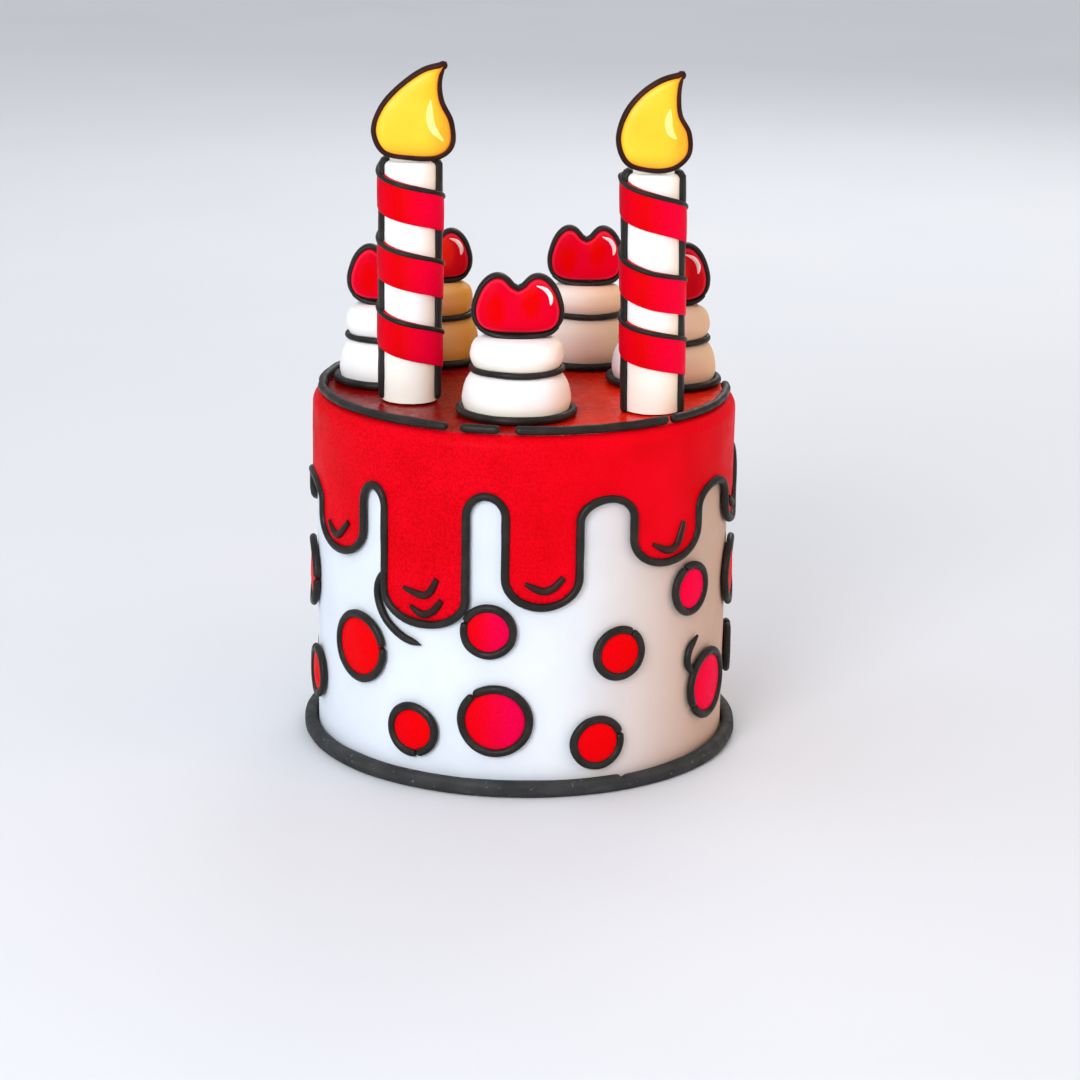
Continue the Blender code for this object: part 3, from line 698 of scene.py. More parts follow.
def red_top_material():
    """The red on the flat top: deeper and glossy, with painted shade towards its left, painted light towards
    its right, and darker streaks of painted reflection, bumped along the same streaks.
    """
    nodes = Finish("red_top")
    streaks = nodes.noise(26 * MM, 3, stretch=(1.0, 0.5, 1.0))
    # Painted shade towards the left and painted light towards the right
    colour = nodes.mix(nodes.range(nodes.coordinate("X"), 0.3, 0.85), TOP_PAINTED_SHADE, TOP_PAINTED_LIGHT)
    # Painted reflection: darker streaks
    colour = nodes.darkened(colour, streaks, 0.35, 0.72, 0.62)
    nodes.bump([(streaks, 0.4 * MM), (nodes.noise(1.2 * MM), 0.015 * MM)])
    return nodes.finish(colour, *TOP_GLOSS)


def rope_material(name, plain, worn, gloss):
    """Rolled dark icing: worn paler in patches, with fine pits and soft lumps."""
    nodes = Finish(name)
    patches = nodes.ramp(nodes.noise(8 * MM, 4), [(0.4, plain), (0.75, worn)])
    colour = nodes.darkened(patches, nodes.noise(0.7 * MM), 0.35, 0.75, 0.6)
    nodes.bump([(nodes.noise(3 * MM, 3), 0.2 * MM), (nodes.noise(0.6 * MM), 0.03 * MM)])
    return nodes.finish(colour, *gloss)


def base_rope_material():
    """The matte grey rope round the foot, with faint streaks along it and a few pale flecks."""
    nodes = Finish("grey_rope")
    streaks = nodes.noise(16 * MM, 3, stretch=(1.0, 1.0, 4.0))
    colour = nodes.ramp(streaks, [(0.35, BASE_GREY), (0.7, BASE_GREY_WORN)])
    flecks = nodes.range(nodes.noise(1.6 * MM, 1), 0.7, 0.76, 0.0, 0.7)
    colour = nodes.mix(flecks, colour, BASE_FLECK)
    nodes.bump([(nodes.noise(9 * MM, 3), 0.5 * MM), (nodes.noise(0.8 * MM), 0.05 * MM)])
    return nodes.finish(colour, *BASE_GLOSS)


def dot_material(name, left, right):
    """A dot's face: one red turning into another across it, with painted shade in the crease beside the ring.
    """
    nodes = Finish(name)
    colour = nodes.mix(nodes.range(nodes.coordinate("X"), 0.15, 0.85), left, right)
    colour = nodes.darkened(colour, nodes.noise(GRAIN_SIZE), 0.35, 0.9, 0.6)
    # Painted shade in the crease beside the ring
    colour = nodes.mix(nodes.range(nodes.attribute("edge"), 0.84, 0.97), colour, DOT_PAINTED_CREASE_SHADE)
    return fondant(nodes, colour, RED_GLOSS)


def cherry_material(name, middle, rim, painted_crease_shade):
    """A cherry's face: a clear red spot in each lobe and pinker round them, painted shading of the puffed
    lobes; a pale line, and painted shade in the crease by the edge.
    """
    nodes = Finish(name)
    edge = nodes.attribute("edge")
    uneven = nodes.range(nodes.noise(9 * MM), 0.3, 0.7, 0.0, 0.25)
    colour = nodes.mix(uneven, rim, middle)
    # Painted shading of the puffed lobes: clear red in each lobe's middle
    colour = nodes.mix(nodes.range(nodes.attribute("lobe"), 0.2, 0.75), colour, middle)
    colour = nodes.mix(nodes.range(edge, 0.62, 0.74, 0.0, 0.35), colour, CHERRY_PALE)
    # Painted shade in the crease by the edge
    colour = nodes.mix(nodes.range(edge, 0.78, 0.9), colour, painted_crease_shade)
    return fondant(nodes, colour, RED_GLOSS)


def ribbon_material(name):
    """A candle's ribbon: darker at its left with painted shade, clear red in front and pinker at its right.
    """
    nodes = Finish(name)
    # Painted shade at the ribbon's left
    colour = nodes.ramp(nodes.coordinate("X"), RIBBON_STOPS)
    colour = nodes.darkened(colour, nodes.noise(0.8 * MM), 0.35, 0.92, 0.6)
    return fondant(nodes, colour, RED_GLOSS)


def flame_material(name):
    """A flame: clear yellow, with orange painted shade along its right edge and its foot, deeper near its
    outline.
    """
    nodes = Finish(name)
    colour = nodes.ramp(nodes.noise(14 * MM, 3), [(0.3, DEEP_YELLOW), (0.65, YELLOW)])
    # Orange painted shade towards the right edge and the foot
    colour = nodes.mix(nodes.range(nodes.coordinate("X"), 0.62, 0.98, 0.0, 0.85), colour, ORANGE_PAINTED_SHADE)
    colour = nodes.mix(nodes.range(nodes.coordinate("Z"), 0.2, 0.0, 0.0, 0.7), colour, ORANGE_PAINTED_SHADE)
    # Deeper orange painted shade near the outline
    colour = nodes.mix(nodes.range(nodes.attribute("edge"), 0.72, 0.95, 0.0, 0.75), colour, DEEP_ORANGE_PAINTED_SHADE)
    return fondant(nodes, colour, FLAME_GLOSS)


def glint_material(name, colour, paler):
    """A pale stroke of icing that stands for a glint."""
    nodes = Finish(name)
    tone = nodes.ramp(nodes.noise(3 * MM), [(0.3, colour), (0.7, paler)])
    return fondant(nodes, tone, GLINT_GLOSS)


def floor_material():
    nodes = Finish("floor")
    tone = nodes.ramp(nodes.noise(0.4, 3), [(0.3, FLOOR), (0.7, FLOOR_PALE)])
    nodes.bump([(nodes.noise(3 * MM), 0.05 * MM)])
    return nodes.finish(tone, 0.75, 0.85, 0.15, 0.1)


def make_materials():
    return {
        # The whites carry painted shade: warm at the right and foot, ochre and tan on the dollops in deepest
        # shade, and ivory painted light at some feet
        "cake": white_material("cake_white", right=(PAINTED_WARM_SHADE, 0.54, 0.95), plain=(COOL_SHADE, COOL_WHITE)),
        "candle": white_material("candle_white", right=(PAINTED_PALE_TAN_SHADE, 0.6, 0.8), low=(PAINTED_IVORY_LIGHT, 0.45)),
        "front": white_material("front_white", right=(PAINTED_PALE_TAN_SHADE, 0.72, 0.7), low=(PAINTED_IVORY_LIGHT, 0.8)),
        "left": white_material("left_white", right=(PAINTED_CREAM_SHADE, 0.5, 0.6), low=(PAINTED_CREAM_SHADE, 0.2)),
        "right": white_material("right_white", right=(PAINTED_TAN_SHADE, 0.1, 0.95), low=(PAINTED_TAN_SHADE, 0.3)),
        "back_left": white_material("ochre_shaded_white", right=(PAINTED_OCHRE_SHADE, -0.4, 1.0), low=(PAINTED_OCHRE_SHADE, 0.7)),
        "back_right": white_material("tan_shaded_white", right=(PAINTED_TAN_SHADE, -0.3, 0.95), low=(PAINTED_TAN_SHADE, 0.1)),
        "red_side": red_side_material(),
        "red_top": red_top_material(),
        "black": rope_material("black_rope", BLACK, BLACK_WORN, BLACK_GLOSS),
        "stroke": rope_material("black_stroke", WARM_BLACK, WARM_BLACK_WORN, BLACK_GLOSS),
        "base": base_rope_material(),
        "brown": rope_material("brown_line", BROWN, BROWN_WORN, BROWN_GLOSS),
        "dot": dot_material("dot_red", srgb(230, 0, 12), srgb(234, 0, 5)),
        "turning_dot": dot_material("dot_turning", srgb(230, 0, 18), srgb(230, 0, 68)),
        "crimson_dot": dot_material("dot_crimson", srgb(255, 0, 58), srgb(255, 0, 70)),
        "cherry": cherry_material("cherry_pink", srgb(220, 0, 4), srgb(218, 0, 38), srgb(112, 0, 22)),
        "dark_cherry": cherry_material("cherry_dark", srgb(232, 34, 20), srgb(204, 4, 30), srgb(96, 0, 14)),
        "ribbon": ribbon_material("ribbon_red"),
        "flame": flame_material("flame_yellow"),
        "yellow_glint": glint_material("yellow_glint", PALE_YELLOW, WARM_WHITE),
        "pink_glint": glint_material("pink_glint", PALE_PINK, PINK_WHITE),
    }


def make_cake():
    inner = CAKE_RADIUS - CAKE_SHOULDER
    profile = [(0, CAKE_TOP)]
    for k in range(SHOULDER_STEPS + 1):
        turn = math.pi / 2 * k / SHOULDER_STEPS
        rise = CAKE_TOP - CAKE_SHOULDER * (1 - math.cos(turn))
        profile.append((inner + CAKE_SHOULDER * math.sin(turn), rise))
    side = CAKE_TOP - CAKE_SHOULDER
    profile += [(CAKE_RADIUS, side * (1 - k / CAKE_ROWS)) for k in range(1, CAKE_ROWS)]
    profile += [(CAKE_RADIUS - FOOT_BEVEL, 0), (0, 0)]
    bm = turned(profile, ICING_COLUMNS, BODY_WAVE)
    add_piece("cake_body", bm, "cake", "cake")


def half_turn(start, end, height, rise):
    """Half an ellipse from start to end, at the height in its middle and off it at both ends."""
    points = []
    for k in range(TURN_POINTS):
        turn = math.pi * k / (TURN_POINTS - 1)
        across = (start + end) / 2 - (end - start) / 2 * math.cos(turn)
        points.append(Vector((across, height + rise * (1 - math.sin(turn)))))
    return points


def drip_line():
    """The closed middle line of the drips' outline, as (along, height) round the cake."""
    line = []
    count = len(DRIPS)
    for i, (angle, half, tip) in enumerate(DRIPS):
        left = math.radians(angle - half) * CAKE_RADIUS
        right = math.radians(angle + half) * CAKE_RADIUS
        next_angle, next_half, next_tip = DRIPS[(i + 1) % count]
        turn_on = 360 if i == count - 1 else 0
        end = math.radians(next_angle + turn_on - next_half) * CAKE_RADIUS
        rounded = min(TIP_ROUND, TIP_SHARE * (min(ARCH_TOPS[i - 1], ARCH_TOPS[i]) - tip))
        line += half_turn(left, right, tip, rounded)
        rounded = min(ARCH_ROUND, ARCH_SHARE * (ARCH_TOPS[i] - max(tip, next_tip)))
        line += half_turn(right, end, ARCH_TOPS[i], -rounded)
    line.append(line[0] + Vector((math.tau * CAKE_RADIUS, 0)))
    return even_points(line, round(lengths_along(line)[-1] / ROPE_STEP), closed=True)


def moved_off(line, distance):
    """The closed line moved off to the side of the red icing, each point by the distance."""
    whole = math.tau * CAKE_RADIUS
    count = len(line)
    result = []
    for i, point in enumerate(line):
        before = line[i - 1] - Vector((whole, 0)) if i == 0 else line[i - 1]
        after = line[0] + Vector((whole, 0)) if i == count - 1 else line[i + 1]
        along = (after - before).normalized()
        result.append(point + Vector((-along.y, along.x)) * distance)
    return result


def icing_point(reach, angle):
    """A point of the icing's outer face and its outward direction, reach being the way over it."""
    flat = ICING_RADIUS - ICING_SHOULDER
    bend = ICING_SHOULDER * math.pi / 2
    if reach <= flat:
        return polar(reach, angle, ICING_TOP), Vector((0, 0, 1))
    if reach <= flat + bend:
        turn = (reach - flat) / ICING_SHOULDER
        out = polar(math.sin(turn), angle, math.cos(turn))
        return polar(flat, angle, ICING_TOP - ICING_SHOULDER) + out * ICING_SHOULDER, out
    height = ICING_TOP - ICING_SHOULDER - (reach - flat - bend)
    return polar(ICING_RADIUS, angle, height), polar(1, angle, 0)


def icing_spots():
    """The sheet's edge and the points inside it, as (reach, angle)."""
    flat = ICING_RADIUS - ICING_SHOULDER
    side = flat + ICING_SHOULDER * math.pi / 2
    foot = ICING_TOP - ICING_SHOULDER
    edge = []
    for along, height in moved_off(drip_line(), ICING_UNDER_ROPE):
        edge.append((side + foot - height, math.degrees(along / CAKE_RADIUS)))
    inner = [(0.0, 0.0)]
    rings = round(flat / ICING_RING)
    for ring in range(1, rings):
        points = max(8, round(math.tau * ring))
        inner += [(flat * ring / rings, 360 * k / points) for k in range(points)]
    reaches = [flat + (side - flat) * k / BEND_ROWS for k in range(BEND_ROWS + 1)]
    rows = int((foot - min(drip[2] for drip in DRIPS)) / ICING_ROW)
    reaches += [side + ICING_ROW * k for k in range(1, rows)]
    for reach in reaches:
        inner += [(reach, 360 * k / ICING_COLUMNS) for k in range(ICING_COLUMNS)]
    return edge, inner


def icing_sheet():
    """The red icing's outer face: a flower-shaped flat sheet, triangulated and then folded down."""
    edge, inner = icing_spots()
    spots = edge + inner
    flat_spots = [polar(reach, angle, 0).xy for reach, angle in spots]
    result = delaunay_2d_cdt(flat_spots, [], [list(range(len(edge)))], 1, SAME_POINT)
    bm = bmesh.new()
    verts = []
    for point, found in zip(result[0], result[3]):
        reach, angle = point.length, math.degrees(math.atan2(point.x, -point.y))
        if found:
            reach, angle = spots[found[0]]
        place, out = icing_point(reach, angle)
        wave = ICING_WAVE * (noise.noise(place / ICING_WAVE_SIZE) - 1)
        verts.append(bm.verts.new(place + out * wave))
    for face in result[2]:
        bm.faces.new([verts[k] for k in face])
    loose = [vert for vert in bm.verts if not vert.link_faces]
    bmesh.ops.delete(bm, geom=loose, context="VERTS")
    return bm


def make_red_icing():
    mesh = made_mesh("red_icing", icing_sheet(), "red_side", "red_top")
    for face in mesh.polygons:
        face.material_index = 1 if face.center.xy.length < RED_TOP_RADIUS else 0
    icing = place_piece("red_icing_coat", mesh, "red_icing")
    wall = icing.modifiers.new("wall", "SOLIDIFY")
    wall.thickness = ICING_THICKNESS
    wall.offset = -1
    for i, spots in enumerate(DRIP_STROKES):
        stroke = stroke_on(spots, ICING_RADIUS - CAKE_RADIUS + 0.1 * MM, 0.5, 0.75, 0.4)
        add_piece(f"drip_stroke_{i + 1:02d}", stroke, "stroke", "red_icing")


def stroke_on(spots, out, first, last, reach):
    """A short stroke through the spots, given as angle and height, standing out that far."""
    line = spline_points(spots, STROKE_POINTS)
    points = [polar(CAKE_RADIUS + out, angle, height * MM) for angle, height in line]
    sizes = tapered(len(points), first, last, reach)
    return sweep(points, None, STROKE * 0.9, STROKE, sizes=sizes)


def make_drip_outline():
    points = []
    for along, height in drip_line():
        rise = noise.noise(Vector((along, height, 0)) / UNEVEN_SIZE * 0.7) * SWAY
        points.append(wrapped(along, height + rise, GAP + DRIP_ROPE))
    rope = sweep(points, None, DRIP_ROPE, DRIP_ROPE, closed=True, uneven=ROPE_UNEVEN)
    add_piece("drip_rope", rope, "black", "drip_outline")
    stroke = stroke_on(SIDE_STROKE, STROKE_OUT, 0.5, 0.12, 0.12)
    add_piece("side_stroke", stroke, "black", "drip_outline")


def make_base_rope():
    """The thick rope round the foot, flattened where it lies, with soft lumps and one seam."""
    middle = CAKE_RADIUS + GAP + BASE_ROPE_DEPTH / 2
    section = []
    for c, s in circle(BASE_SIDES):
        section.append((math.copysign(abs(c) ** BASE_SQUARE, c), math.copysign(abs(s) ** BASE_SQUARE, s)))
    bm = bmesh.new()
    rows = []
    for i in range(BASE_STEPS):
        angle = BASE_SEAM + 360 * i / BASE_STEPS
        past = min(i, BASE_STEPS - i) * 360 / BASE_STEPS
        pinch = 1 - SEAM_PINCH * math.exp(-((past / SEAM_REACH) ** 2))
        thin = pinch * (1 - SEAM_THIN * max(0.0, 1 - i / SEAM_THIN_STEPS))
        row = []
        for out, up in section:
            height = BASE_ROPE_HEIGHT / 2 * thin * (1 + up)
            place = polar(middle + BASE_ROPE_DEPTH / 2 * out * pinch, angle, height)
            lump = BASE_LUMP * (noise.noise(place / BASE_LUMP_SIZE) - 1)
            lift = Vector((0, 0, 0 if place.z < BASE_FLAT else lump * up))
            row.append(bm.verts.new(place + outwards(place) * (lump * out) + lift))
        rows.append(row)
    join_rows(bm, rows, closed=True)
    add_piece("foot_rope", bm, "base", "base_rope")


def make_rim_ropes():
    for i, (start, end) in enumerate(RIM_PIECES):
        count = max(12, round(math.radians(end - start) * RIM_RADIUS / RIM_STEP))
        points = []
        for k in range(count):
            angle = start + (end - start) * k / (count - 1)
            sway = noise.noise(Vector((angle / 7, i, 0))) * RIM_SWAY
            points.append(polar(RIM_RADIUS + sway, angle, ICING_TOP + RIM_ROPE))
        sizes = round_ends(points, 1.1 * MM, 0.55)
        rope = sweep(points, UP, RIM_ROPE, RIM_ROPE, sizes=sizes, uneven=LINE_UNEVEN)
        add_piece(f"rim_rope_piece_{i + 1}", rope, "black", f"rim_rope_{i + 1}")


def dot_face(angle, height, radius):
    """A dot's low dome, wrapped round the cake's side, with how near its edge each point is."""
    sections = []
    for share in DOT_SHARES:
        rolled = max(share - DOT_ROLL, 0) / (1 - DOT_ROLL)
        dome = DOT_FACE_RISE + DOT_FACE_DOME * (1 - share**2) - DOT_ROLL_DEPTH * rolled**2
        sections.append((share, dome))
    sections.append((1.0, DOT_GAP))
    bm = bmesh.new()
    edge = bm.verts.layers.float.new("edge")
    rows = []
    for share, out in sections:
        row = []
        for c, s in circle(DOT_SIDES):
            spot = wrapped(radius * share * c, height + radius * share * s, out, angle)
            vert = bm.verts.new(spot)
            vert[edge] = share
            row.append(vert)
        rows.append(row)
    join_rows(bm, rows, closed=False)
    return bm


def dot_ring(number, angle, height, radius):
    """The rope round a dot, its two ends nearly touching."""
    joint = RING_JOINTS[number % len(RING_JOINTS)]
    points = []
    for k in range(RING_POINTS):
        turn = math.radians(joint + DOT_JOINT + (360 - 2 * DOT_JOINT) * k / (RING_POINTS - 1))
        c, s = math.cos(turn), math.sin(turn)
        reach = radius - DOT_RING - abs(noise.noise(Vector((c, s, number * 3.1)))) * SWAY
        points.append(wrapped(reach * c, height + reach * s, DOT_GAP + DOT_RING_DEPTH, angle))
    sizes = round_ends(points, 0.8 * MM, 0.6)
    return sweep(points, None, DOT_RING_DEPTH, DOT_RING, sizes=sizes, uneven=ROPE_UNEVEN)


def make_dots():
    looks = {**dict.fromkeys(CRIMSON_DOTS, "crimson_dot"), **dict.fromkeys(TURNING_DOTS, "turning_dot")}
    for i, (angle, height, radius) in enumerate(DOTS):
        name = f"dot_{i + 1:02d}"
        face = dot_face(angle, height * MM, radius - DOT_RING * 1.3)
        add_piece(f"{name}_face", face, looks.get(i + 1, "dot"), name)
        ring = dot_ring(i, angle, height * MM, radius)
        add_piece(f"{name}_ring", ring, "black", name)
        if name == STROKED_DOT:
            stroke = stroke_on(DOT_STROKE, STROKE_OUT, 0.35, 0.75, 0.3)
            add_piece(f"{name}_stroke", stroke, "black", name)


def make_tier(node, outline, look, seed):
    """A dollop's round tier, in the box of its node."""
    low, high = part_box(node)
    radius = (high.x - low.x) / 2
    height = high.z - low.z
    middle = (low + high) / 2
    profile = [(0, 0)]
    for share, rise in spline_points(outline, TIER_POINTS):
        profile.append(((radius - TIER_WAVE) * share, height * min(max(rise, 0), 1)))
    profile.append((0, height))
    bm = moved(turned(profile, TIER_SIDES, TIER_WAVE, seed), (middle.x, middle.y, low.z))
    add_piece(f"{node}_tier", bm, look, node)
    return middle, radius


def ring_rope(node, middle, major, minor, height, sway):
    points = []
    for c, s in circle(RING_ROPE_POINTS):
        rise = noise.noise(Vector((c, s, height * 40))) * sway
        points.append(Vector((middle.x + major * c, middle.y + major * s, height + rise)))
    outs = [outwards(point - middle) for point in points]
    rope = sweep(points, outs, minor, minor, closed=True, uneven=ROPE_UNEVEN)
    add_piece(f"{node}_ring", rope, "black", node)


def scaled(spots, wide, tall):
    return [(x * wide, z * tall) for x, z in spots]


def cherry_edge(wide, tall):
    """The cherry's edge drawn in by its dark line, as points in millimetres."""
    half = scaled(CHERRY_HALF, wide, tall)
    edge = [(0, CHERRY_NOTCH * tall)] + half + [(0, 0)] + [(-x, z) for x, z in reversed(half)]
    return drawn_in(spline_points(edge, CHERRY_POINTS, closed=True), CHERRY_LINE / MM)


def drawn_in(line, inset):
    """A closed clockwise line moved inwards, without the loops that form at its last, sharp point."""
    count = len(line)
    result = []
    for i, point in enumerate(line):
        along = (line[(i + 1) % count] - line[i - 1]).normalized()
        spot = point + Vector((along.y, -along.x)) * inset
        if i == count - 1 or min((spot - other).length for other in line) > inset * LOOP_SHARE:
            result.append(spot)
    result.append(result[0])
    return even_points(result, count, closed=True)


def plate_face(line, depth, thin, lobes=()):
    """Both puffed faces of a standing plate: thin at its edge, and full away from the edge."""
    bm = bmesh.new()
    edge = bm.verts.layers.float.new("edge")
    lobe = bm.verts.layers.float.new("lobe")
    middle = sum(line, Vector((0, 0))) / len(line)
    fullest = edge_distance(middle, line)
    rows = []
    for step in range(1, 2 * PLATE_STEPS):
        share = min(step, 2 * PLATE_STEPS - step) / PLATE_STEPS
        side = (step < PLATE_STEPS) - (step > PLATE_STEPS)
        row = []
        for point in line:
            spot = middle + (point - middle) * share
            inside = min(edge_distance(spot, line) / fullest, 1.0)
            puff = thin + (depth - thin) * math.sqrt(1 - (1 - inside) ** 2)
            vert = bm.verts.new(upright(spot, side * puff))
            vert[edge] = 1 - inside
            for x, z in lobes:
                reach = ((spot.x - x) / LOBE_SIZE[0]) ** 2 + ((spot.y - z) / LOBE_SIZE[1]) ** 2
                vert[lobe] = max(vert[lobe], math.exp(-reach))
            row.append(vert)
        rows.append(row)
    join_rows(bm, rows, closed=False)
    return bm


def edge_distance(spot, line):
    """A softened distance from the spot to the line's points."""
    total = sum((max((spot - point).length, 0.01)) ** -5 for point in line)
    return total ** -0.2


def dark_line(line, depth, width, sizes=None):
    """The dark line round a standing plate."""
    points = [upright(point) for point in line]
    return sweep(points, BACK, depth, width, closed=True, sizes=sizes, uneven=LINE_UNEVEN)


def make_cherry(dollop, look):
    node = f"dollop_{dollop}_cherry"
    low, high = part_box(node)
    wide = CHERRY_SIZE * (high.x - low.x) / (2 * CHERRY_WIDTH * MM)
    tall = CHERRY_SIZE * (high.z - low.z) / (CHERRY_HEIGHT * MM)
    place = Vector(((low.x + high.x) / 2, (low.y + high.y) / 2, low.z))
    line = cherry_edge(wide, tall)
    depth = CHERRY_DEPTH * wide
    face = plate_face(line, depth, CHERRY_LINE_DEPTH * PLATE_THIN, scaled(LOBES, wide, tall))
    add_piece(f"{node}_face", moved(face, place), look, node, PLATE_SHARP)
    rope = dark_line(line, CHERRY_LINE_DEPTH, CHERRY_LINE)
    add_piece(f"{node}_line", moved(rope, place), "black", node, PLATE_SHARP)
    make_glint(node, scaled(CHERRY_GLINT, wide, tall), depth, place, "pink_glint", PINK_GLINT_WIDTH)
    make_foot_rope(node, wide, place)


def make_glint(node, spots, depth, place, look, width):
    """A pale crescent on the front of a standing plate."""
    points = [upright(spot, -depth * 0.9) for spot in spline_points(spots, 30)]
    sizes = tapered(len(points), 0.15, 0.15, 0.42)
    bm = sweep(points, FRONT, GLINT_DEPTH, width, sizes=sizes)
    add_piece(f"{node}_glint", moved(bm, place), look, node)


def make_foot_rope(node, wide, place):
    """The separate rope along the cherry's foot, front and back, its ends standing out at both sides."""
    line = spline_points([(x * wide, z) for x, z in FOOT_ROPE], 50)
    for side, turn in (("front", -1), ("back", 1)):
        points = []
        for spot in line:
            share = abs(spot.x) / (FOOT_ROPE_REACH * wide)
            out = (FOOT_ROPE_OUT - FOOT_ROPE_BEND * share**2) * wide * MM
            points.append(Vector((spot.x * MM, turn * out, (spot.y + FOOT_ROPE_LIFT) * MM)))
        sizes = round_ends(points, 1.0 * MM, 0.4)
        rope = sweep(points, FRONT, FOOT_ROPE_SIZE, FOOT_ROPE_SIZE, sizes=sizes, uneven=ROPE_UNEVEN)
        add_piece(f"{node}_{side}_foot", moved(rope, place), "black", node)


def make_dollop(dollop, seed):
    node = f"dollop_{dollop}"
    middle, radius = make_tier(f"{node}_lower", LOWER_OUTLINE, dollop, seed)
    low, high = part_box(f"{node}_lower")
    ring_rope(f"{node}_base_rope", middle, radius * BASE_RING_SHARE, BASE_RING_SIZE,
              low.z + BASE_RING_SIZE, BASE_RING_SWAY)
    make_tier(f"{node}_upper", UPPER_OUTLINE, dollop, seed + 5)
    ring_rope(f"{node}_middle_rope", middle, radius * MIDDLE_ROPE_SHARE, THIN_ROPE,
              high.z + MIDDLE_ROPE_RISE, MIDDLE_ROPE_SWAY)
    make_cherry(dollop, "dark_cherry" if dollop in DARK_CHERRIES else "cherry")


def leaned(candle, point):
    """A point of an upright candle at the origin, leaned and moved to the candle's place."""
    x, y, z = point
    spec = CANDLES[candle]
    return Vector((spec["x"] * MM + x + spec["lean"] * z, spec["y"] * MM + y, ICING_TOP + GAP + z))


def candle_height(candle):
    return CANDLES[candle]["height"] * MM


def ribbon_middle(candle, angle):
    """Height of the ribbon's middle above the candle's foot; 0 degrees is the first front crossing."""
    heights = CANDLES[candle]["ribbon"]
    turn = min(max(angle / 360, 0), len(heights) - 1.001)
    first = int(turn)
    height = heights[first] + (heights[first + 1] - heights[first]) * (turn - first)
    return height * MM - ICING_TOP - GAP + RIBBON_EVEN * math.sin(math.radians(angle))


def ribbon_edges(candle, angle):
    """Lower and upper edge of the ribbon, cut off at the candle's foot and top."""
    middle = ribbon_middle(candle, angle)
    lower = max(middle - RIBBON_WIDTH / 2, 0.6 * MM)
    upper = min(middle + RIBBON_WIDTH / 2, candle_height(candle) - 0.8 * MM)
    return lower, upper


def ribbon_angles(candle):
    """The angles at which the ribbon is wide enough to be there."""
    kept = []
    for angle in range(0, RIBBON_END, RIBBON_STEP):
        lower, upper = ribbon_edges(candle, angle)
        if upper - lower > RIBBON_LEAST:
            kept.append(angle)
    return kept


def make_ribbon(candle):
    """The red band wound round a candle, with the black line along its upper edge."""
    node = f"candle_{candle}_ribbon"
    bm = bmesh.new()
    rows = []
    points = []
    outs = []
    for angle in ribbon_angles(candle):
        lower, upper = ribbon_edges(candle, angle)
        height = upper - lower
        soft = min(RIBBON_SOFT, height / 4)
        profile = [
            (RIBBON_IN, lower),
            (RIBBON_OUT - soft * 0.7, lower),
            (RIBBON_OUT - soft * 0.2, lower + soft * 0.3),
            (RIBBON_OUT, lower + soft),
            (RIBBON_OUT + RIBBON_CROWN, lower + height * 0.35),
            (RIBBON_OUT + RIBBON_CROWN, lower + height * 0.65),
            (RIBBON_OUT, upper - soft),
            (RIBBON_IN, upper),
        ]
        rows.append([bm.verts.new(leaned(candle, polar(radius, angle, z))) for radius, z in profile])
        points.append(leaned(candle, polar(RIBBON_OUT - 0.35 * MM, angle, upper - RIBBON_LINE / 2)))
        outs.append(polar(1, angle, 0))
    join_rows(bm, rows, closed=False)
    add_piece(f"{node}_band", bm, "ribbon", node)
    sizes = round_ends(points, 1.0 * MM, 0.4)
    line = sweep(points, outs, RIBBON_LINE / 2, RIBBON_LINE / 2, sizes=sizes, uneven=LINE_UNEVEN)
    add_piece(f"{node}_line", line, "black", node)


def make_candle(candle):
    node = f"candle_{candle}"
    height = candle_height(candle)
    straight = height - CANDLE_EDGE
    profile = [(0, 0), (CANDLE_RADIUS * 0.9, 0), (CANDLE_RADIUS, 0.3 * MM)]
    profile += [(CANDLE_RADIUS, straight * k / CANDLE_ROWS) for k in range(1, CANDLE_ROWS + 1)]
    for k in range(1, EDGE_STEPS + 1):
        turn = math.pi / 2 * k / EDGE_STEPS
        rise = straight + CANDLE_EDGE * math.sin(turn)
        profile.append((CANDLE_RADIUS - CANDLE_EDGE * (1 - math.cos(turn)), rise))
    profile.append((0, height))
    bm = turned(profile, CANDLE_SIDES, BODY_WAVE)
    for vert in bm.verts:
        vert.co = leaned(candle, vert.co)
    add_piece(f"{node}_body", bm, "candle", node)
    make_strip(candle, "right", STRIP_ANGLE)
    make_strip(candle, "left", -STRIP_ANGLE)
    make_ribbon(candle)
    make_flame(candle)


def make_strip(candle, name, side):
    """The black strip up one side of a candle, bent over its edge at the top."""
    height = candle_height(candle) / MM
    path = spline_points([(radius, height + z) for radius, z in STRIP_PATH], 90)
    points = [leaned(candle, polar(spot.x * MM, side, spot.y * MM)) for spot in path]
    outs = []
    for i in range(len(path)):
        along = (path[min(i + 1, len(path) - 1)] - path[max(i - 1, 0)]).normalized()
        outs.append(polar(along.y, side, -along.x))
    sizes = round_ends(points, 1.2 * MM, 0.6)
    strip = sweep(points, outs, STRIP_DEPTH, STRIP_WIDTH, sizes=sizes, uneven=0.12)
    add_piece(f"candle_{candle}_{name}_strip", strip, "black", f"candle_{candle}")


def round_tip(bm, point, width, depth):
    """A round end of the line where it turns sharply at a flame's tip."""
    shape = Matrix.Translation(point) @ Matrix.Diagonal((width, depth, width, 1))
    bmesh.ops.create_icosphere(bm, subdivisions=3, radius=1, matrix=shape)


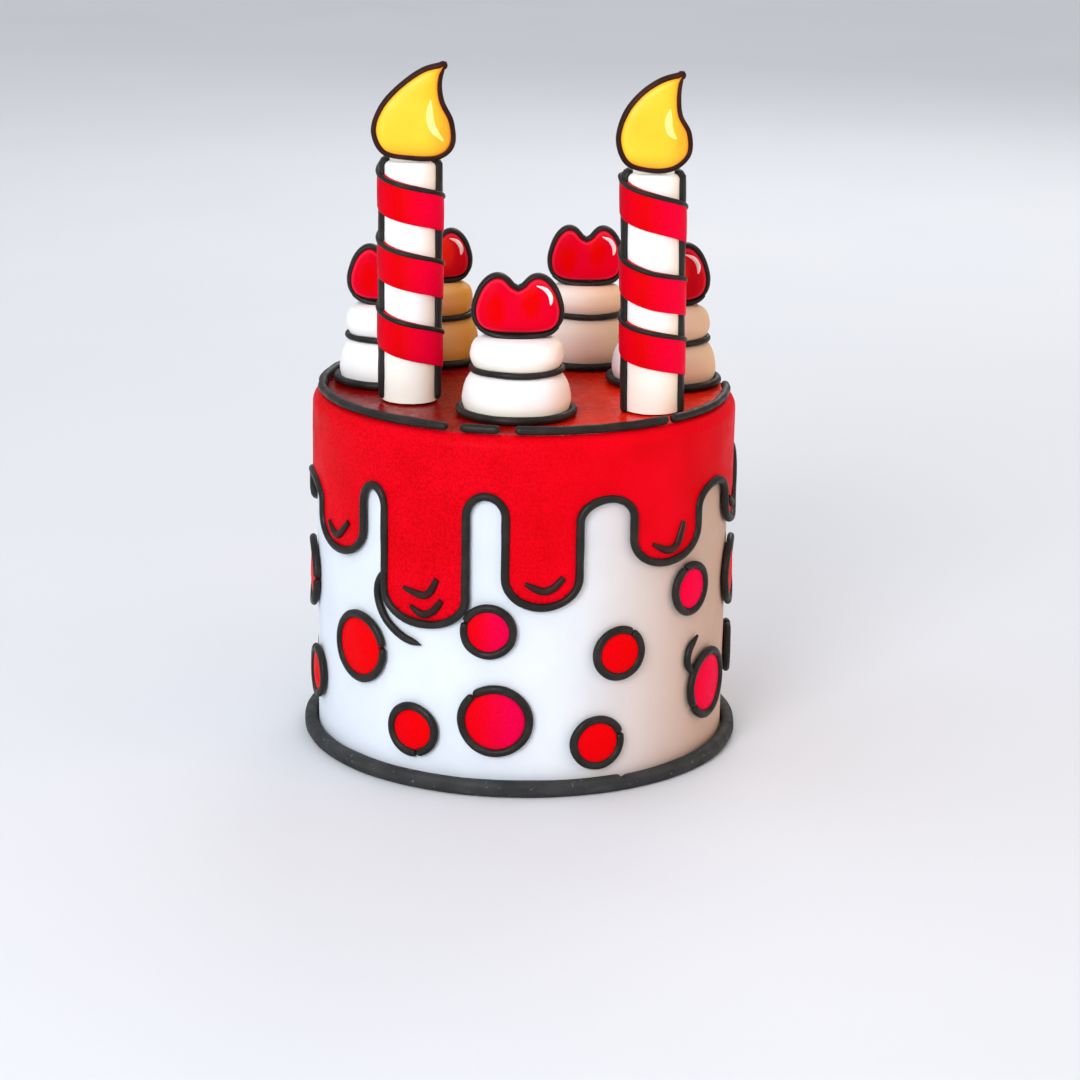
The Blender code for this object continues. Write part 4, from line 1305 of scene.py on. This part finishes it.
def make_flame(candle):
    node = f"candle_{candle}_flame"
    low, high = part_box(node)
    outline = spline_points(FLAMES[candle], FLAME_POINTS, closed=True)
    line = drawn_in(list(reversed(outline)), FLAME_LINE / MM)
    foot = min(point.y for point in outline) * MM
    middle = (min(point.x for point in outline) + max(point.x for point in outline)) / 2 * MM
    place = Vector(((low.x + high.x) / 2 - middle, (low.y + high.y) / 2, low.z - foot))
    face = plate_face(line, FLAME_DEPTH, FLAME_LINE_DEPTH * PLATE_THIN)
    add_piece(f"{node}_face", moved(face, place), "flame", node, PLATE_SHARP)
    sizes = [0.85] + [1.0] * (len(line) - 3) + [0.85, 0.4]
    rope = dark_line(line, FLAME_LINE_DEPTH, FLAME_LINE, sizes)
    round_tip(rope, upright(line[-1]), FLAME_LINE * 1.2, FLAME_LINE_DEPTH)
    add_piece(f"{node}_line", moved(rope, place), "brown", node, PLATE_SHARP)
    make_glint(node, FLAME_GLINTS[candle], FLAME_DEPTH, place, "yellow_glint", YELLOW_GLINT_WIDTH)


def make_camera():
    pitch, turn, roll = CAMERA_PITCH, CAMERA_TURN, CAMERA_ROLL
    forward = Vector((math.sin(turn) * math.cos(pitch), math.cos(turn) * math.cos(pitch), -math.sin(pitch)))
    level = Vector((math.cos(turn), -math.sin(turn), 0))
    upward = level.cross(forward)
    right = level * math.cos(roll) + upward * math.sin(roll)
    up = upward * math.cos(roll) - level * math.sin(roll)
    data = bpy.data.cameras.new("camera")
    data.lens = CAMERA_LENS
    data.sensor_width = CAMERA_SENSOR
    data.clip_start = 0.01
    camera = bpy.data.objects.new("camera", data)
    turned_frame = Matrix((right, up, -forward)).transposed().to_4x4()
    camera.matrix_world = Matrix.Translation(CAMERA_PLACE) @ turned_frame
    bpy.context.scene.collection.objects.link(camera)
    bpy.context.scene.camera = camera


def add_light(name, place, target, size, power, colour):
    data = bpy.data.lights.new(name, "AREA")
    data.shape = "DISK"
    data.size = size
    data.energy = power
    data.color = colour
    light = bpy.data.objects.new(name, data)
    light.location = place
    light.rotation_euler = (Vector(target) - Vector(place)).to_track_quat("-Z", "Y").to_euler()
    bpy.context.scene.collection.objects.link(light)


def make_floor():
    floor = bmesh.new()
    bmesh.ops.create_grid(floor, x_segments=8, y_segments=8, size=8)
    mesh = bpy.data.meshes.new("floor")
    floor.to_mesh(mesh)
    floor.free()
    mesh.materials.append(floor_material())
    ground = bpy.data.objects.new("floor", mesh)
    bpy.context.scene.collection.objects.link(ground)


def make_world():
    """A soft even surround, cool at the left and warm at the right."""
    world = bpy.data.worlds.new("studio")
    world.use_nodes = True
    nodes = Nodes(world.node_tree)
    background = nodes.tree.nodes["Background"]
    across = nodes.add("MapRange", Value=nodes.coordinate("X"), From_Min=-1.0).outputs["Result"]
    nodes.put(nodes.ramp(across, WORLD_STOPS), background.inputs["Color"])
    nodes.put(WORLD_STRENGTH, background.inputs["Strength"])
    bpy.context.scene.world = world
    bpy.context.scene.view_settings.view_transform = "Standard"


def plain(box):
    return [[round(value, 6) for value in corner] for corner in box]


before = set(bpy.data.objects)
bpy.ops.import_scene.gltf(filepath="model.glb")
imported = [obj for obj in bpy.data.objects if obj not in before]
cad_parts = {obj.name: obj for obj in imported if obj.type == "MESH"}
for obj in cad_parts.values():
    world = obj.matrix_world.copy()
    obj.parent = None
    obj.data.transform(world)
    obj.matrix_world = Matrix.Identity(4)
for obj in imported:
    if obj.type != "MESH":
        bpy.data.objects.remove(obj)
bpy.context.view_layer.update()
LOOKS = make_materials()
make_cake()
make_red_icing()
make_drip_outline()
make_base_rope()
make_rim_ropes()
make_dots()
for number, dollop_name in enumerate(DOLLOPS):
    make_dollop(dollop_name, number * 11.0)
for candle_name in CANDLES:
    make_candle(candle_name)
make_camera()
make_floor()
for light_name, light in LIGHTS.items():
    add_light(light_name, *light)
make_world()
